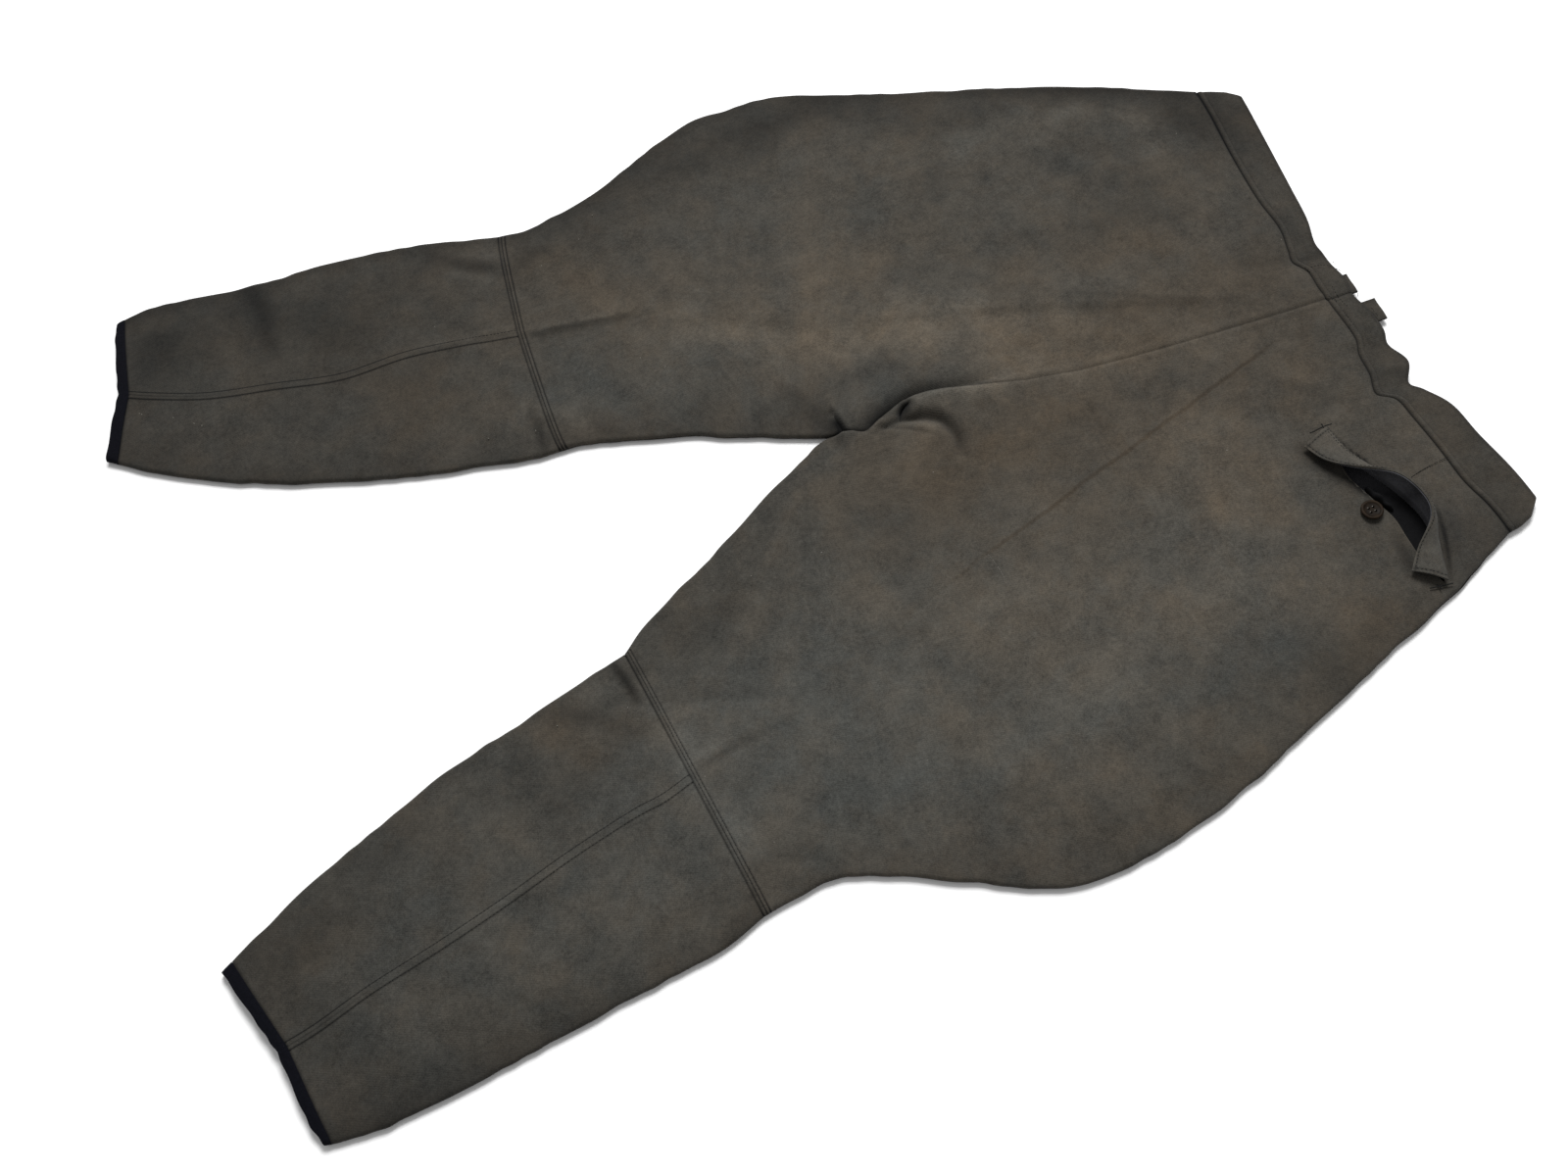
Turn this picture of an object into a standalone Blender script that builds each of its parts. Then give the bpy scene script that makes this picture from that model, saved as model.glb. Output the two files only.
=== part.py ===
"""Knee breeches of heavy wool cloth, laid flat with the seat uppermost.

Frame: metres, +Z up, the floor at z = 0. +X runs from the leg hems to the waist and +Y
to the wearer's left leg. The origin is on the floor under the middle of the garment.

Every panel is a cloth wall. Its middle surface is worked out in millimetres from the
tables below, put in a grid mesh, and given its thickness by a Solidify modifier.
The seat side lies on the front side. At a leg's edges the cloth turns down through a
small bend, and the side seam runs along the middle of that bend.
"""

import math

import bmesh
import bpy
import numpy as np

MM = 0.001

# ---------------------------------------------------------------- driving sizes, mm
CLOTH = 2.0  # wall of the wool cloth
BAND_CLOTH = 2.6  # wall of the interlined waistband
BINDING_CLOTH = 2.4  # wall of the folded tape on the leg hems
LINING = 0.8  # wall of the pocket's lining
SEAM_GAP = 0.3  # clear space between two sewn pieces
BEND = 2.0  # radius of the cloth's middle where it turns under at an edge
BINDING_WIDTH = 8.0
LOFT = 1.4  # how much the seat side stands off in the middle of a leg
LOFT_REACH = 18.0  # distance from an edge over which it comes up

LOW = CLOTH / 2  # middle of the front side, which rests on the floor
SIDE = LOW + BEND  # height of the side seam
HIGH = LOW + 2 * BEND  # middle of the seat side at an edge
BAND_LOW = BAND_CLOTH / 2
BAND_BEND = 2.2
BAND_HIGH = BAND_LOW + 2 * BAND_BEND

STEPS = 2  # mesh rows for each table row
BEND_ANGLES = (0.0, 12.0, 50.0, 90.0)
BEND_CLEAR = SEAM_GAP / 2 + 0.12  # from the side seam to the middle of each cut edge
CROTCH_CLEAR = 0.5  # the same where the inseam meets the centre seam
CROTCH_ROLL = 0.6  # how far the inseam's bend is opened, one row below the centre seam
FAR = 1000.0  # a distance past the reach of any edge
SEAM_STEP = 1.5  # column spacing beside a seam that has no bend
# How far across a half each column lies: closer together beside the centre seam.
BACK_FRACTIONS = 1 - (1 - np.linspace(0.0, 1.0, 17)) ** 1.3
FRONT_FRACTIONS = np.linspace(0.0, 1.0, 5)

# Sections of a leg from the knee seam to the crotch.
# Columns: x and y of the point on the side edge, x and y of the point on the inseam.
THIGH = {
    "left": (
        (-154.0, 315.5, -168.0, 95.0),
        (-130.0, 313.5, -150.0, 93.5),
        (-100.0, 319.5, -115.0, 84.0),
        (-65.0, 329.0, -75.0, 72.0),
        (-30.0, 345.0, -35.0, 55.0),
        (0.0, 359.5, 0.0, 40.5),
        (30.0, 370.5, 25.0, 30.0),
    ),
    "right": (
        (-148.0, -313.5, -176.0, -91.0),
        (-120.0, -308.5, -150.0, -71.0),
        (-90.0, -306.7, -115.0, -52.0),
        (-55.0, -319.5, -75.0, -30.0),
        (-20.0, -336.0, -35.0, -5.0),
        (10.0, -351.0, 0.0, 13.0),
        (40.0, -366.0, 25.0, 25.5),
    ),
}

# Sections of the seat from the crotch to the waist seam.
# left, right: points on the side edges. centre: point on the seam between the halves.
SEAT_COLUMNS = ("left_x", "left_y", "centre_x", "centre_y", "right_x", "right_y")
SEAT = (
    (50.0, 372.5, 42.0, 27.0, 60.0, -371.0),
    (70.0, 372.5, 60.0, 22.0, 75.0, -372.2),
    (90.0, 372.5, 80.0, 28.0, 92.0, -372.0),
    (108.0, 371.5, 100.0, 34.0, 110.0, -370.0),
    (130.0, 365.5, 125.0, 34.0, 135.0, -366.5),
    (155.0, 354.5, 150.0, 29.0, 160.0, -361.0),
    (205.0, 336.0, 200.0, 15.0, 210.0, -346.0),
    (262.0, 316.5, 260.0, 7.0, 268.0, -324.0),
    (325.0, 294.5, 330.0, 2.0, 335.0, -298.0),
    (390.0, 266.0, 395.0, -1.0, 405.0, -272.5),
    (453.0, 235.0, 450.5, -3.0, 474.0, -240.5),
)

# Sections of the lower leg, from the hem to the knee seam.
# seam: how far across, from outer to inner, the calf seam lies.
# kink: how far the section is drawn towards the waist at the calf seam.
CALF_COLUMNS = ("outer_x", "outer_y", "inner_x", "inner_y", "seam", "kink")
CALF = {
    "left": (
        (-476.0, 350.0, -507.0, 221.0, 0.58, 5.0),
        (-445.0, 355.0, -475.0, 197.5, 0.58, 1.5),
        (-400.0, 349.5, -430.0, 170.5, 0.57, 0.0),
        (-350.0, 344.5, -380.0, 148.0, 0.55, 0.0),
        (-300.0, 343.5, -325.0, 128.0, 0.55, 0.0),
        (-250.0, 338.5, -270.0, 113.0, 0.50, 0.0),
        (-200.0, 328.0, -220.0, 102.5, 0.48, -1.5),
        (-178.0, 321.5, -193.0, 96.0, 0.47, -2.5),
        (-154.0, 315.5, -168.0, 95.0, 0.47, -3.5),
    ),
    "right": (
        (-471.0, -352.5, -507.0, -216.0, 0.50, 6.5),
        (-440.0, -356.0, -475.0, -197.5, 0.49, 2.5),
        (-400.0, -354.0, -430.0, -175.0, 0.49, 0.0),
        (-350.0, -348.0, -380.0, -153.5, 0.48, 0.0),
        (-300.0, -341.5, -325.0, -132.0, 0.48, 0.0),
        (-250.0, -334.0, -270.0, -117.0, 0.50, 0.0),
        (-200.0, -328.0, -220.0, -103.0, 0.51, 0.0),
        (-173.0, -322.0, -197.0, -96.5, 0.50, 0.0),
        (-148.0, -313.5, -176.0, -91.0, 0.50, 0.0),
    ),
}

SEAM, KINK = ([CALF_COLUMNS.index(name)] for name in ("seam", "kink"))

# The waistband's seat side, from the wearer's left to right.
# seam_x: its lower seam. edge_x: its upper edge. lift: how far its gathers stand up.
WAIST_COLUMNS = ("y", "seam_x", "edge_x", "lift")
WAIST = (
    (235.0, 453.0, 486.0, 0.0),
    (205.0, 452.0, 485.0, 0.0),
    (160.0, 448.5, 481.5, 0.0),
    (110.0, 446.5, 477.0, 0.6),
    (75.0, 448.0, 473.0, 2.2),
    (52.0, 444.5, 468.0, 0.8),
    (40.0, 442.5, 469.0, 0.2),
    (26.0, 448.5, 469.0, 1.8),
    (8.0, 448.0, 472.0, 3.0),
    (-8.0, 449.5, 470.5, 2.0),
    (-26.0, 450.5, 474.5, 3.0),
    (-46.0, 451.5, 476.0, 2.4),
    (-60.0, 447.5, 473.0, 0.8),
    (-80.0, 445.0, 478.5, 2.8),
    (-97.0, 442.0, 470.0, 0.6),
    (-108.0, 453.5, 477.5, 1.8),
    (-128.0, 457.0, 490.0, 1.8),
    (-158.0, 461.5, 495.5, 0.8),
    (-190.0, 464.5, 502.5, 0.4),
    (-215.0, 471.0, 506.0, 0.0),
    (-240.0, 474.0, 507.0, 0.0),
)
# Where the band folds at the hip, from its seam to its upper edge.
BAND_END = {
    "left": (234.0, 230.0, 225.0, 216.0),
    "right": (-240.5, -239.0, -235.0, -224.0),
}
BAND_CENTRE = -5.0  # y where the band's two halves meet
BAND_TRIM = (0.01, 0.97)  # seam points kept, as shares of the way to the hip fold
BAND_BEHIND = 2.0  # how far the front's upper edge stays behind the back's
SEAM_BLEND = (350.0, 450.0)  # x over which the seat follows the band's wavy seam

# Folds of the seat side: a curve from start over middle to end, its height, and how far
# it reaches to the left and right of its direction.
# Columns: x and y of the start, the middle and the end, the height, then the two reaches.
FOLDS = {
    "seat_rise": (0.0, 40.0, 110.0, 15.0, 230.0, 0.0, 5.0, 60.0, 60.0),
    "seat_ridge": (76.0, 22.0, 118.0, 33.0, 200.0, 8.0, 6.5, 9.0, 26.0),
    "centre_trough": (56.0, 20.0, 92.0, 54.0, 178.0, 30.0, -6.5, 15.0, 8.0),
    "left_bulge": (50.0, 34.0, 62.0, 60.0, 88.0, 92.0, 4.0, 14.0, 14.0),
    "left_trough": (47.0, 20.0, 46.0, 46.0, 18.0, 80.0, -6.0, 10.0, 8.0),
    "right_ridge": (8.0, 14.0, 62.0, 22.0, 118.0, -12.0, 4.5, 9.0, 20.0),
    "right_trough": (70.0, 18.0, 132.0, 22.0, 122.0, -28.0, -6.0, 8.0, 9.0),
    "gusset_fold": (68.0, 22.0, 88.0, 26.0, 108.0, 30.0, 3.0, 6.0, 6.0),
    "left_crease_low": (-168.0, 210.0, -40.0, 212.0, 150.0, 108.0, 2.6, 38.0, 14.0),
    "left_crease_high": (90.0, 122.0, 220.0, 78.0, 430.0, 4.0, 2.6, 36.0, 14.0),
    "right_crease": (80.0, -130.0, 250.0, -60.0, 410.0, -22.0, 2.0, 26.0, 22.0),
    "right_hollow": (120.0, -10.0, 190.0, -50.0, 300.0, -60.0, -1.2, 30.0, 30.0),
    "left_seat_crease": (250.0, 150.0, 330.0, 190.0, 440.0, 172.0, 1.6, 14.0, 26.0),
    "hip_ripple": (200.0, 300.0, 270.0, 285.0, 330.0, 250.0, 1.2, 22.0, 22.0),
    "calf_ripple_left": (-330.0, 335.0, -310.0, 300.0, -330.0, 255.0, 1.2, 20.0, 20.0),
    "knee_pucker_right": (-196.0, -110.0, -176.0, -128.0, -150.0, -150.0, -1.4, 9.0, 9.0),
    "knee_pucker_left": (-200.0, 306.0, -176.0, 282.0, -160.0, 240.0, 1.4, 12.0, 12.0),
    "band_pucker_right": (462.0, -100.0, 430.0, -92.0, 390.0, -96.0, -1.4, 10.0, 10.0),
    "band_pucker_left": (462.0, 40.0, 425.0, 44.0, 390.0, 52.0, -1.4, 10.0, 10.0),
}
CURVE_PIECES = 12
FADE_POWER = 0.6  # below 1, a fold keeps its height longer before it fades at its ends
LOWEST = CLOTH + SEAM_GAP + CLOTH / 2  # a trough stops where the two sides touch

# The hip pocket's flap, along its length from the seat to the side seam.
# hinge: where it joins the seat. free: its loose edge, which the open mouth lifts up.
# lip: the pocket's lower lip.
FLAP_COLUMNS = ("hinge_x", "hinge_y", "free_x", "free_y", "free_z", "lip_x", "lip_y")
FLAP = (
    (392.0, -111.0, 367.0, -121.0, 10.6, 391.0, -114.0),
    (397.0, -135.0, 379.0, -141.0, 13.0, 393.0, -135.0),
    (403.5, -155.0, 396.0, -161.0, 17.5, 394.0, -155.0),
    (411.0, -177.0, 410.0, -175.0, 24.0, 396.0, -177.0),
    (417.5, -199.0, 416.5, -197.0, 27.0, 399.0, -199.0),
    (419.0, -217.0, 411.0, -215.0, 23.0, 401.0, -217.0),
    (415.0, -238.0, 398.0, -231.0, 15.0, 403.0, -237.0),
    (408.0, -257.0, 388.0, -242.0, 10.6, 406.0, -254.0),
)
FLAP_CLOTH = 1.6
LINING_CLEAR = 0.7  # between the flap and its lining
HINGE_LIFT = FLAP_CLOTH / 2 + LINING_CLEAR + LINING + 0.6  # flap's middle above the seat
FLAP_BULGE = 2.5  # how far the flap is arched between its hinge and its loose edge
BAG_MARGIN = 7.0  # how far the lining goes on under the cloth round the mouth
BAG_HEIGHT = 3.4  # middle of the lining, between the two sides of the garment
HINGE_LEDGE = 1.0  # cloth left between the mouth and the flap's hinge
CUT_HEIGHTS = (-5.0, 30.0)  # the mouth's cutter reaches past both faces of the cloth

BUTTON_AT = (385.8, -188.5)
BUTTON_RADIUS = 8.5
BUTTON_THICK = 3.0
BUTTON_RIM = 1.6  # width of the raised rim
BUTTON_DISH = 0.9  # depth of the middle below the rim
BUTTON_HOLE = 1.0  # radius of each of the four holes
BUTTON_HOLE_PITCH = 1.9  # distance of a hole from the middle, along x and y
BUTTON_TILT = 4.0  # degrees
# The button's section: distance in from its edge, and depth below its top.
BUTTON_SECTION = (
    (BUTTON_RADIUS, BUTTON_DISH),
    (2 * BUTTON_RIM, BUTTON_DISH),
    (BUTTON_RIM, 0.0),
    (0.5, 0.2),
    (0.0, 0.9),
    (1.5, BUTTON_THICK),
    (BUTTON_RADIUS, BUTTON_THICK),
)
BUTTON_STEPS = 24

# Two folded loops of cloth that stand out of the waist beside the centre seam.
# Columns: y of its two sides, then x of its root and of its tip.
LOOPS = {
    "left": (14.5, -4.0, 455.0, 478.0),
    "right": (-15.0, -35.5, 457.0, 487.0),
}
LOOP_CLOTH = 0.9
LOOP_HEIGHTS = (3.4, 5.0)  # middles of the loop's lower and upper layer

# Each material's base colour and roughness.
WOOL = ((0.070, 0.063, 0.053), 0.92)
BAND = ((0.052, 0.048, 0.041), 0.92)
TAPE = ((0.010, 0.011, 0.013), 0.85)
POCKETING = ((0.010, 0.010, 0.012), 0.8)
HORN = ((0.030, 0.018, 0.012), 0.45)


# ---------------------------------------------------------------- curves and fields
def smooth_rows(rows, steps):
    """Catmull-Rom curve through every column of a table, with steps rows for each."""
    rows = np.array(rows, float)
    ends = np.vstack([2 * rows[0] - rows[1], rows, 2 * rows[-1] - rows[-2]])
    t = np.arange(steps)[:, None] / steps
    made = []
    for a, b, c, d in zip(ends, ends[1:], ends[2:], ends[3:]):
        made.append(
            0.5 * (2 * b + (c - a) * t + (2 * a - 5 * b + 4 * c - d) * t**2
                   + (3 * b - a - 3 * c + d) * t**3)
        )
    return np.vstack(made + [rows[-1:]])


def curve_points(row):
    """Points of the quadratic curve that a fold follows."""
    t = np.linspace(0.0, 1.0, CURVE_PIECES + 1)[:, None]
    start, middle, end = (np.array(row[i:i + 2]) for i in (0, 2, 4))
    return (1 - t) ** 2 * start + 2 * t * (1 - t) * middle + t**2 * end


def fold_height(points, row):
    """Height of one fold: a bell across its curve that fades out at both ends."""
    height, left, right = row[6:]
    path = curve_points(row)
    nearest = np.full(len(points), np.inf)
    side = np.zeros(len(points))
    along = np.zeros(len(points))
    for i, (a, b) in enumerate(zip(path, path[1:])):
        run = b - a
        t = np.clip((points - a) @ run / (run @ run), 0.0, 1.0)
        off = points - a - t[:, None] * run
        away = np.hypot(off[:, 0], off[:, 1])
        closer = away < nearest
        nearest[closer] = away[closer]
        side[closer] = (run[0] * off[:, 1] - run[1] * off[:, 0])[closer]
        along[closer] = ((i + t) / CURVE_PIECES)[closer]
    reach = np.where(side > 0, left, right)
    fade = np.clip(1 - (2 * along - 1) ** 2, 0.0, 1.0) ** FADE_POWER
    return height * fade * np.exp(-((nearest / reach) ** 2))


def seat_height(points, edge_distance):
    """Middle of the seat side's cloth: level at the edges, lofted and folded inside."""
    inside = 1 - np.exp(-((edge_distance / LOFT_REACH) ** 2))
    folds = sum(fold_height(points, row) for row in FOLDS.values())
    return np.maximum(HIGH + inside * (LOFT + folds), LOWEST)


def waist_at(y, column):
    """A column of the waist table at any y."""
    table = smooth_rows(WAIST, STEPS)[::-1]
    return np.interp(y, table[:, 0], table[:, WAIST_COLUMNS.index(column)])


# ---------------------------------------------------------------- meshes and materials
def material(name, colour, roughness):
    made = bpy.data.materials.new(name)
    made.use_nodes = True
    shader = made.node_tree.nodes["Principled BSDF"]
    shader.inputs["Base Color"].default_value = (*colour, 1.0)
    shader.inputs["Roughness"].default_value = roughness
    made.diffuse_color = (*colour, 1.0)
    return made


def new_object(name, mesh, finish):
    mesh.materials.append(finish)
    made = bpy.data.objects.new(name, mesh)
    bpy.context.scene.collection.objects.link(made)
    return made


def grid_mesh(name, grid, closed=False):
    """A mesh of quads through a grid of points in millimetres, shaded smooth."""
    rows, columns = grid.shape[:2]
    index = np.arange(rows * columns).reshape(rows, columns)
    if closed:
        index = np.hstack([index, index[:, :1]])
    corners = (index[:-1, :-1], index[:-1, 1:], index[1:, 1:], index[1:, :-1])
    faces = np.stack(corners, axis=-1).reshape(-1, 4)
    mesh = bpy.data.meshes.new(name)
    mesh.from_pydata((grid.reshape(-1, 3) * MM).tolist(), [], faces.tolist())
    mesh.shade_smooth()
    return mesh


def cloth(name, grid, thick, finish, closed=False):
    """A cloth wall whose middle surface is the grid."""
    made = new_object(name, grid_mesh(name, grid, closed), finish)
    wall = made.modifiers.new("thickness", "SOLIDIFY")
    wall.thickness = thick * MM
    wall.offset = 0.0
    wall.use_even_offset = True
    wall.use_quality_normals = True
    return made


# ---------------------------------------------------------------- thigh and seat panels
def kink(share, calf_rows):
    """How far a section is drawn towards the waist, most at the calf seam."""
    seam, most = calf_rows[:, SEAM], calf_rows[:, KINK]
    return most * np.minimum(share / seam, (1 - share) / (1 - seam))


def bend(radius):
    """Distance in from an edge, and drop, at each angle of a quarter bend."""
    angle = np.radians(BEND_ANGLES)
    return radius * (1 - np.cos(angle)), radius * (1 - np.sin(angle))


def sideways(path, sign):
    """Unit normals of a plan curve; sign 1 turns them to the left of its direction."""
    run = np.gradient(path, axis=0)
    run /= np.linalg.norm(run, axis=1, keepdims=True)
    return sign * np.column_stack([-run[:, 1], run[:, 0]])


def thigh_edges(side):
    """Outer and inner edge of a half, from the knee to the waist, and the inner roll.

    The roll is 1 where the cloth turns down to the inseam and 0 where it meets the other
    half at the centre seam.
    """
    leg, seat = np.array(THIGH[side]), np.array(SEAT)
    own = seat[:, 0:2] if side == "left" else seat[:, 4:6]
    outer = smooth_rows(np.vstack([leg[:, 0:2], own]), STEPS)
    inseam = smooth_rows(np.vstack([leg[:, 2:4], seat[:1, 2:4]]), STEPS)
    centre = smooth_rows(seat[:, 2:4], STEPS)
    inner = np.vstack([inseam[:-1], centre])
    roll = np.zeros((len(inner), 1))
    roll[:len(inseam) - 2] = 1.0
    roll[len(inseam) - 2] = CROTCH_ROLL
    sign = -1.0 if side == "left" else 1.0
    inset = np.full((len(centre), 1), SEAM_GAP / 2)
    inset[0] = CLOTH / 2
    outer = outer + sideways(outer, sign) * CLOTH / 2
    turned = inseam[:-1] - sideways(inseam, sign)[:-1] * (CLOTH / 2)
    joined = centre - sideways(centre, sign) * inset
    return outer, np.vstack([turned, joined]), roll


def seam_clear(roll):
    """Distance of each row's edges from the side seam, in height."""
    turning = np.flatnonzero((roll > 0.0) & (roll < 1.0))[0]
    rows_away = np.abs(np.arange(len(roll))[:, None] - turning)
    return np.where(rows_away < 2, CROTCH_CLEAR, BEND_CLEAR)


def thigh_grid(side, fractions):
    """Plan points of a half's panel, each point's drop, and its distance from an edge."""
    outer, inner, roll = thigh_edges(side)
    across_line = inner - outer
    width = np.linalg.norm(across_line, axis=1, keepdims=True)
    unit = across_line / width
    into, drop = bend(BEND)
    flat_step = SEAM_STEP * np.arange(len(into))
    inner_into = roll * into + (1 - roll) * flat_step
    first, last = into[-1], width - inner_into[:, -1:]
    middle = first + (last - first) * fractions[1:-1]
    one = np.ones_like(width)
    across = np.hstack([into * one, middle, width - inner_into[:, ::-1]])
    drops = np.hstack([drop * one, 0 * middle, (roll * drop)[:, ::-1]])
    edge = np.minimum(across, (width - across) + (1 - roll) * FAR)
    plan = outer[:, None] + unit[:, None] * across[..., None]
    along = (plan[1, 0] + plan[1, -1] - plan[0, 0] - plan[0, -1]) / 2
    plan[0] += along / np.linalg.norm(along) * SEAM_GAP / 2
    plan[-1, :, 0] -= SEAM_GAP / 2
    return plan, drops, edge, seam_clear(roll)


def back_panel(side, finish):
    """Seat and back of the thigh: the upper side, with its folds and the waist's waves."""
    plan, drops, edge, clear = thigh_grid(side, BACK_FRACTIONS)
    share = np.linalg.norm(plan[0] - plan[0, 0], axis=1) / np.linalg.norm(plan[0, -1] - plan[0, 0])
    plan[0, :, 0] += kink(share[None], np.array(CALF[side][-1:]))[0]
    low, high = SEAM_BLEND
    share = np.clip((plan[..., 0] - low) / (high - low), 0.0, 1.0)
    last = plan[-1]
    line_x = last[0, 0] + (last[-1, 0] - last[0, 0]) * (
        (plan[..., 1] - last[0, 1]) / (last[-1, 1] - last[0, 1]))
    wave = waist_at(plan[..., 1], "seam_x") - SEAM_GAP / 2 - line_x
    plan[..., 0] += share * share * (3 - 2 * share) * wave
    z = seat_height(plan.reshape(-1, 2), edge.reshape(-1)).reshape(drops.shape)
    z[:, -2] = z[:, -1]
    z -= drops * (z - SIDE - clear) / BEND
    return cloth("back_" + side, np.dstack([plan, z]), CLOTH, finish)


def front_panel(side, finish):
    """Front of the thigh: the lower side, flat on the floor, turned up at its seams."""
    plan, drops, _, clear = thigh_grid(side, FRONT_FRACTIONS)
    z = LOW + drops * (BEND - clear) / BEND
    return cloth("front_" + side, np.dstack([plan, z]), CLOTH, finish)


# ---------------------------------------------------------------- lower legs
def calf_ring(rows, top_columns, under_columns, slit):
    """Rings of a flattened leg, from the calf seam over the outer edge and round.

    The kink is in both sides at the hem, and only in the upper side at the knee.
    """
    outer, inner = rows[:, 0:2], rows[:, 2:4]
    across_line = inner - outer
    width = np.linalg.norm(across_line, axis=1, keepdims=True)
    unit = across_line / width
    outer = outer + unit * CLOTH / 2
    width = width - CLOTH
    seam = width * rows[:, SEAM]
    angle = np.radians(np.linspace(90.0, -90.0, 5)[1:-1])
    into, up = BEND * (1 - np.cos(angle)), BEND * np.sin(angle)
    part = np.linspace(0.0, 1.0, top_columns + 1)
    under = np.linspace(0.0, 1.0, under_columns + 1)
    one = np.ones_like(width)
    first = seam - slit / 2
    last = seam + slit / 2
    top_out = first + (BEND - first) * part
    top_in = (width - BEND) + (last - width + BEND) * part
    beneath = BEND + (width - 2 * BEND) * under
    across = np.hstack([top_out, into * one, beneath, width - into[::-1] * one, top_in])
    level = np.hstack([np.full(top_columns + 1, 2.0), 1 + up / BEND,
                       np.zeros(under_columns + 1), 1 + up[::-1] / BEND,
                       np.full(top_columns + 1, 2.0)])
    plan = outer[:, None] + unit[:, None] * across[..., None]
    below = np.linspace(1.0, 0.0, len(rows))[:, None]
    plan[..., 0] += kink(across / width, rows) * np.where(level > 1, 1.0, below)
    edge = np.minimum(across, width - across)
    return plan, np.repeat(level[None], len(rows), 0), edge


def ring_grid(rows, top_columns, under_columns, slit, thick):
    plan, level, edge = calf_ring(rows, top_columns, under_columns, slit)
    top = seat_height(plan.reshape(-1, 2), edge.reshape(-1)).reshape(level.shape)
    low = thick / 2
    z = low + (top - low) * level / 2
    return np.dstack([plan, z])


def cut_rows(side, start, stop):
    """Rows of the calf table between two distances from the hem."""
    rows = smooth_rows(CALF[side], STEPS)
    middle = (rows[:, 0:2] + rows[:, 2:4]) / 2
    run = np.concatenate([[0.0], np.cumsum(np.hypot(*np.diff(middle, axis=0).T))])
    stop = run[-1] + stop if stop <= 0 else stop
    inside = run[(run > start + 1.0) & (run < stop - 1.0)]
    stations = np.concatenate([[start], inside, [stop]])
    return np.column_stack([np.interp(stations, run, column) for column in rows.T])


def lower_leg(side, finish):
    """One piece round the lower leg, closed by the calf seam up the middle."""
    rows = cut_rows(side, BINDING_WIDTH + SEAM_GAP / 2, -SEAM_GAP / 2)
    return cloth("lower_leg_" + side, ring_grid(rows, 5, 3, SEAM_GAP, CLOTH), CLOTH, finish)


def hem_binding(side, finish):
    """Dark tape folded round the hem: a flat ring in line with the lower leg."""
    rows = cut_rows(side, 0.0, BINDING_WIDTH - SEAM_GAP / 2)
    grid = ring_grid(rows, 5, 3, 0.0, BINDING_CLOTH)[:, :-1]
    return cloth("hem_binding_" + side, grid, BINDING_CLOTH, finish, closed=True)


# ---------------------------------------------------------------- waistband
def front_waist_line(side):
    """Ends of the front's straight waist seam: y, rising, and x."""
    row = dict(zip(SEAT_COLUMNS, SEAT[-1]))
    ends = [(row["centre_y"], row["centre_x"]), (row[side + "_y"], row[side + "_x"])]
    return zip(*sorted(ends))


def band_section(side, end, share, reach):
    """One line round half of the waistband, at a share of its width from the seam."""
    sign = 1.0 if side == "left" else -1.0
    centre = BAND_CENTRE + sign * SEAM_GAP / 2
    fold = end - sign * (BAND_CLOTH / 2 + BAND_BEND)
    angle = np.radians(np.linspace(90.0, -90.0, 5))
    top_y = centre + reach * (fold - centre)
    under_y = np.linspace(fold, centre, 5)[1:]
    y = np.concatenate([top_y, fold + sign * BAND_BEND * np.cos(angle), under_y])
    z = np.concatenate([BAND_HIGH + waist_at(top_y, "lift"),
                        BAND_LOW + BAND_BEND * (1 + np.sin(angle)),
                        np.full(len(under_y), BAND_LOW)])
    under = np.arange(len(y)) >= len(top_y) + len(angle)
    low_x = np.where(under, np.interp(y, *front_waist_line(side)), waist_at(y, "seam_x"))
    high_x = waist_at(y, "edge_x") - np.where(under, BAND_BEHIND, 0.0)
    low_x = low_x + SEAM_GAP / 2
    return np.column_stack([low_x + share * (high_x - low_x), y, z])


def waistband(side, finish):
    """Half of the waistband: from the centre back over the hip fold to the centre front."""
    sign = 1.0 if side == "left" else -1.0
    ends = BAND_END[side]
    centre = BAND_CENTRE + sign * SEAM_GAP / 2
    fold = ends[0] - sign * (BAND_CLOTH / 2 + BAND_BEND)
    seam_y = thigh_grid(side, BACK_FRACTIONS)[0][-1, ::-1, 1]
    reach = (seam_y - centre) / (fold - centre)
    kept = (reach > BAND_TRIM[0]) & (reach < BAND_TRIM[1])
    reach = np.concatenate([[0.0], reach[kept]])
    shares = np.linspace(0.0, 1.0, len(ends))
    rows = [band_section(side, end, share, reach) for end, share in zip(ends, shares)]
    return cloth("waistband_" + side, np.array(rows), BAND_CLOTH, finish)


def waist_loop(side, finish):
    """A strip folded double, its two layers side by side between the band's layers."""
    y0, y1, root, tip = LOOPS[side]
    low, high = LOOP_HEIGHTS
    radius = (high - low) / 2
    angle = np.radians(np.linspace(-90.0, 90.0, 5))
    turn = tip - radius - LOOP_CLOTH / 2
    x = np.concatenate([[root], turn + radius * np.cos(angle), [root]])
    z = np.concatenate([[low], (low + high) / 2 + radius * np.sin(angle), [high]])
    edge = np.linspace(y0, y1, 2)
    grid = np.array([[(px, y, pz) for px, pz in zip(x, z)] for y in edge])
    return cloth("waist_loop_" + side, grid, LOOP_CLOTH, finish)


# ---------------------------------------------------------------- hip pocket
def flap_rows():
    rows = smooth_rows(FLAP, STEPS)
    return {name: rows[:, i] for i, name in enumerate(FLAP_COLUMNS)}


def seat_top(points):
    """Upper face of the seat away from its edges."""
    return seat_height(points, np.full(len(points), FAR)) + CLOTH / 2


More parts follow.
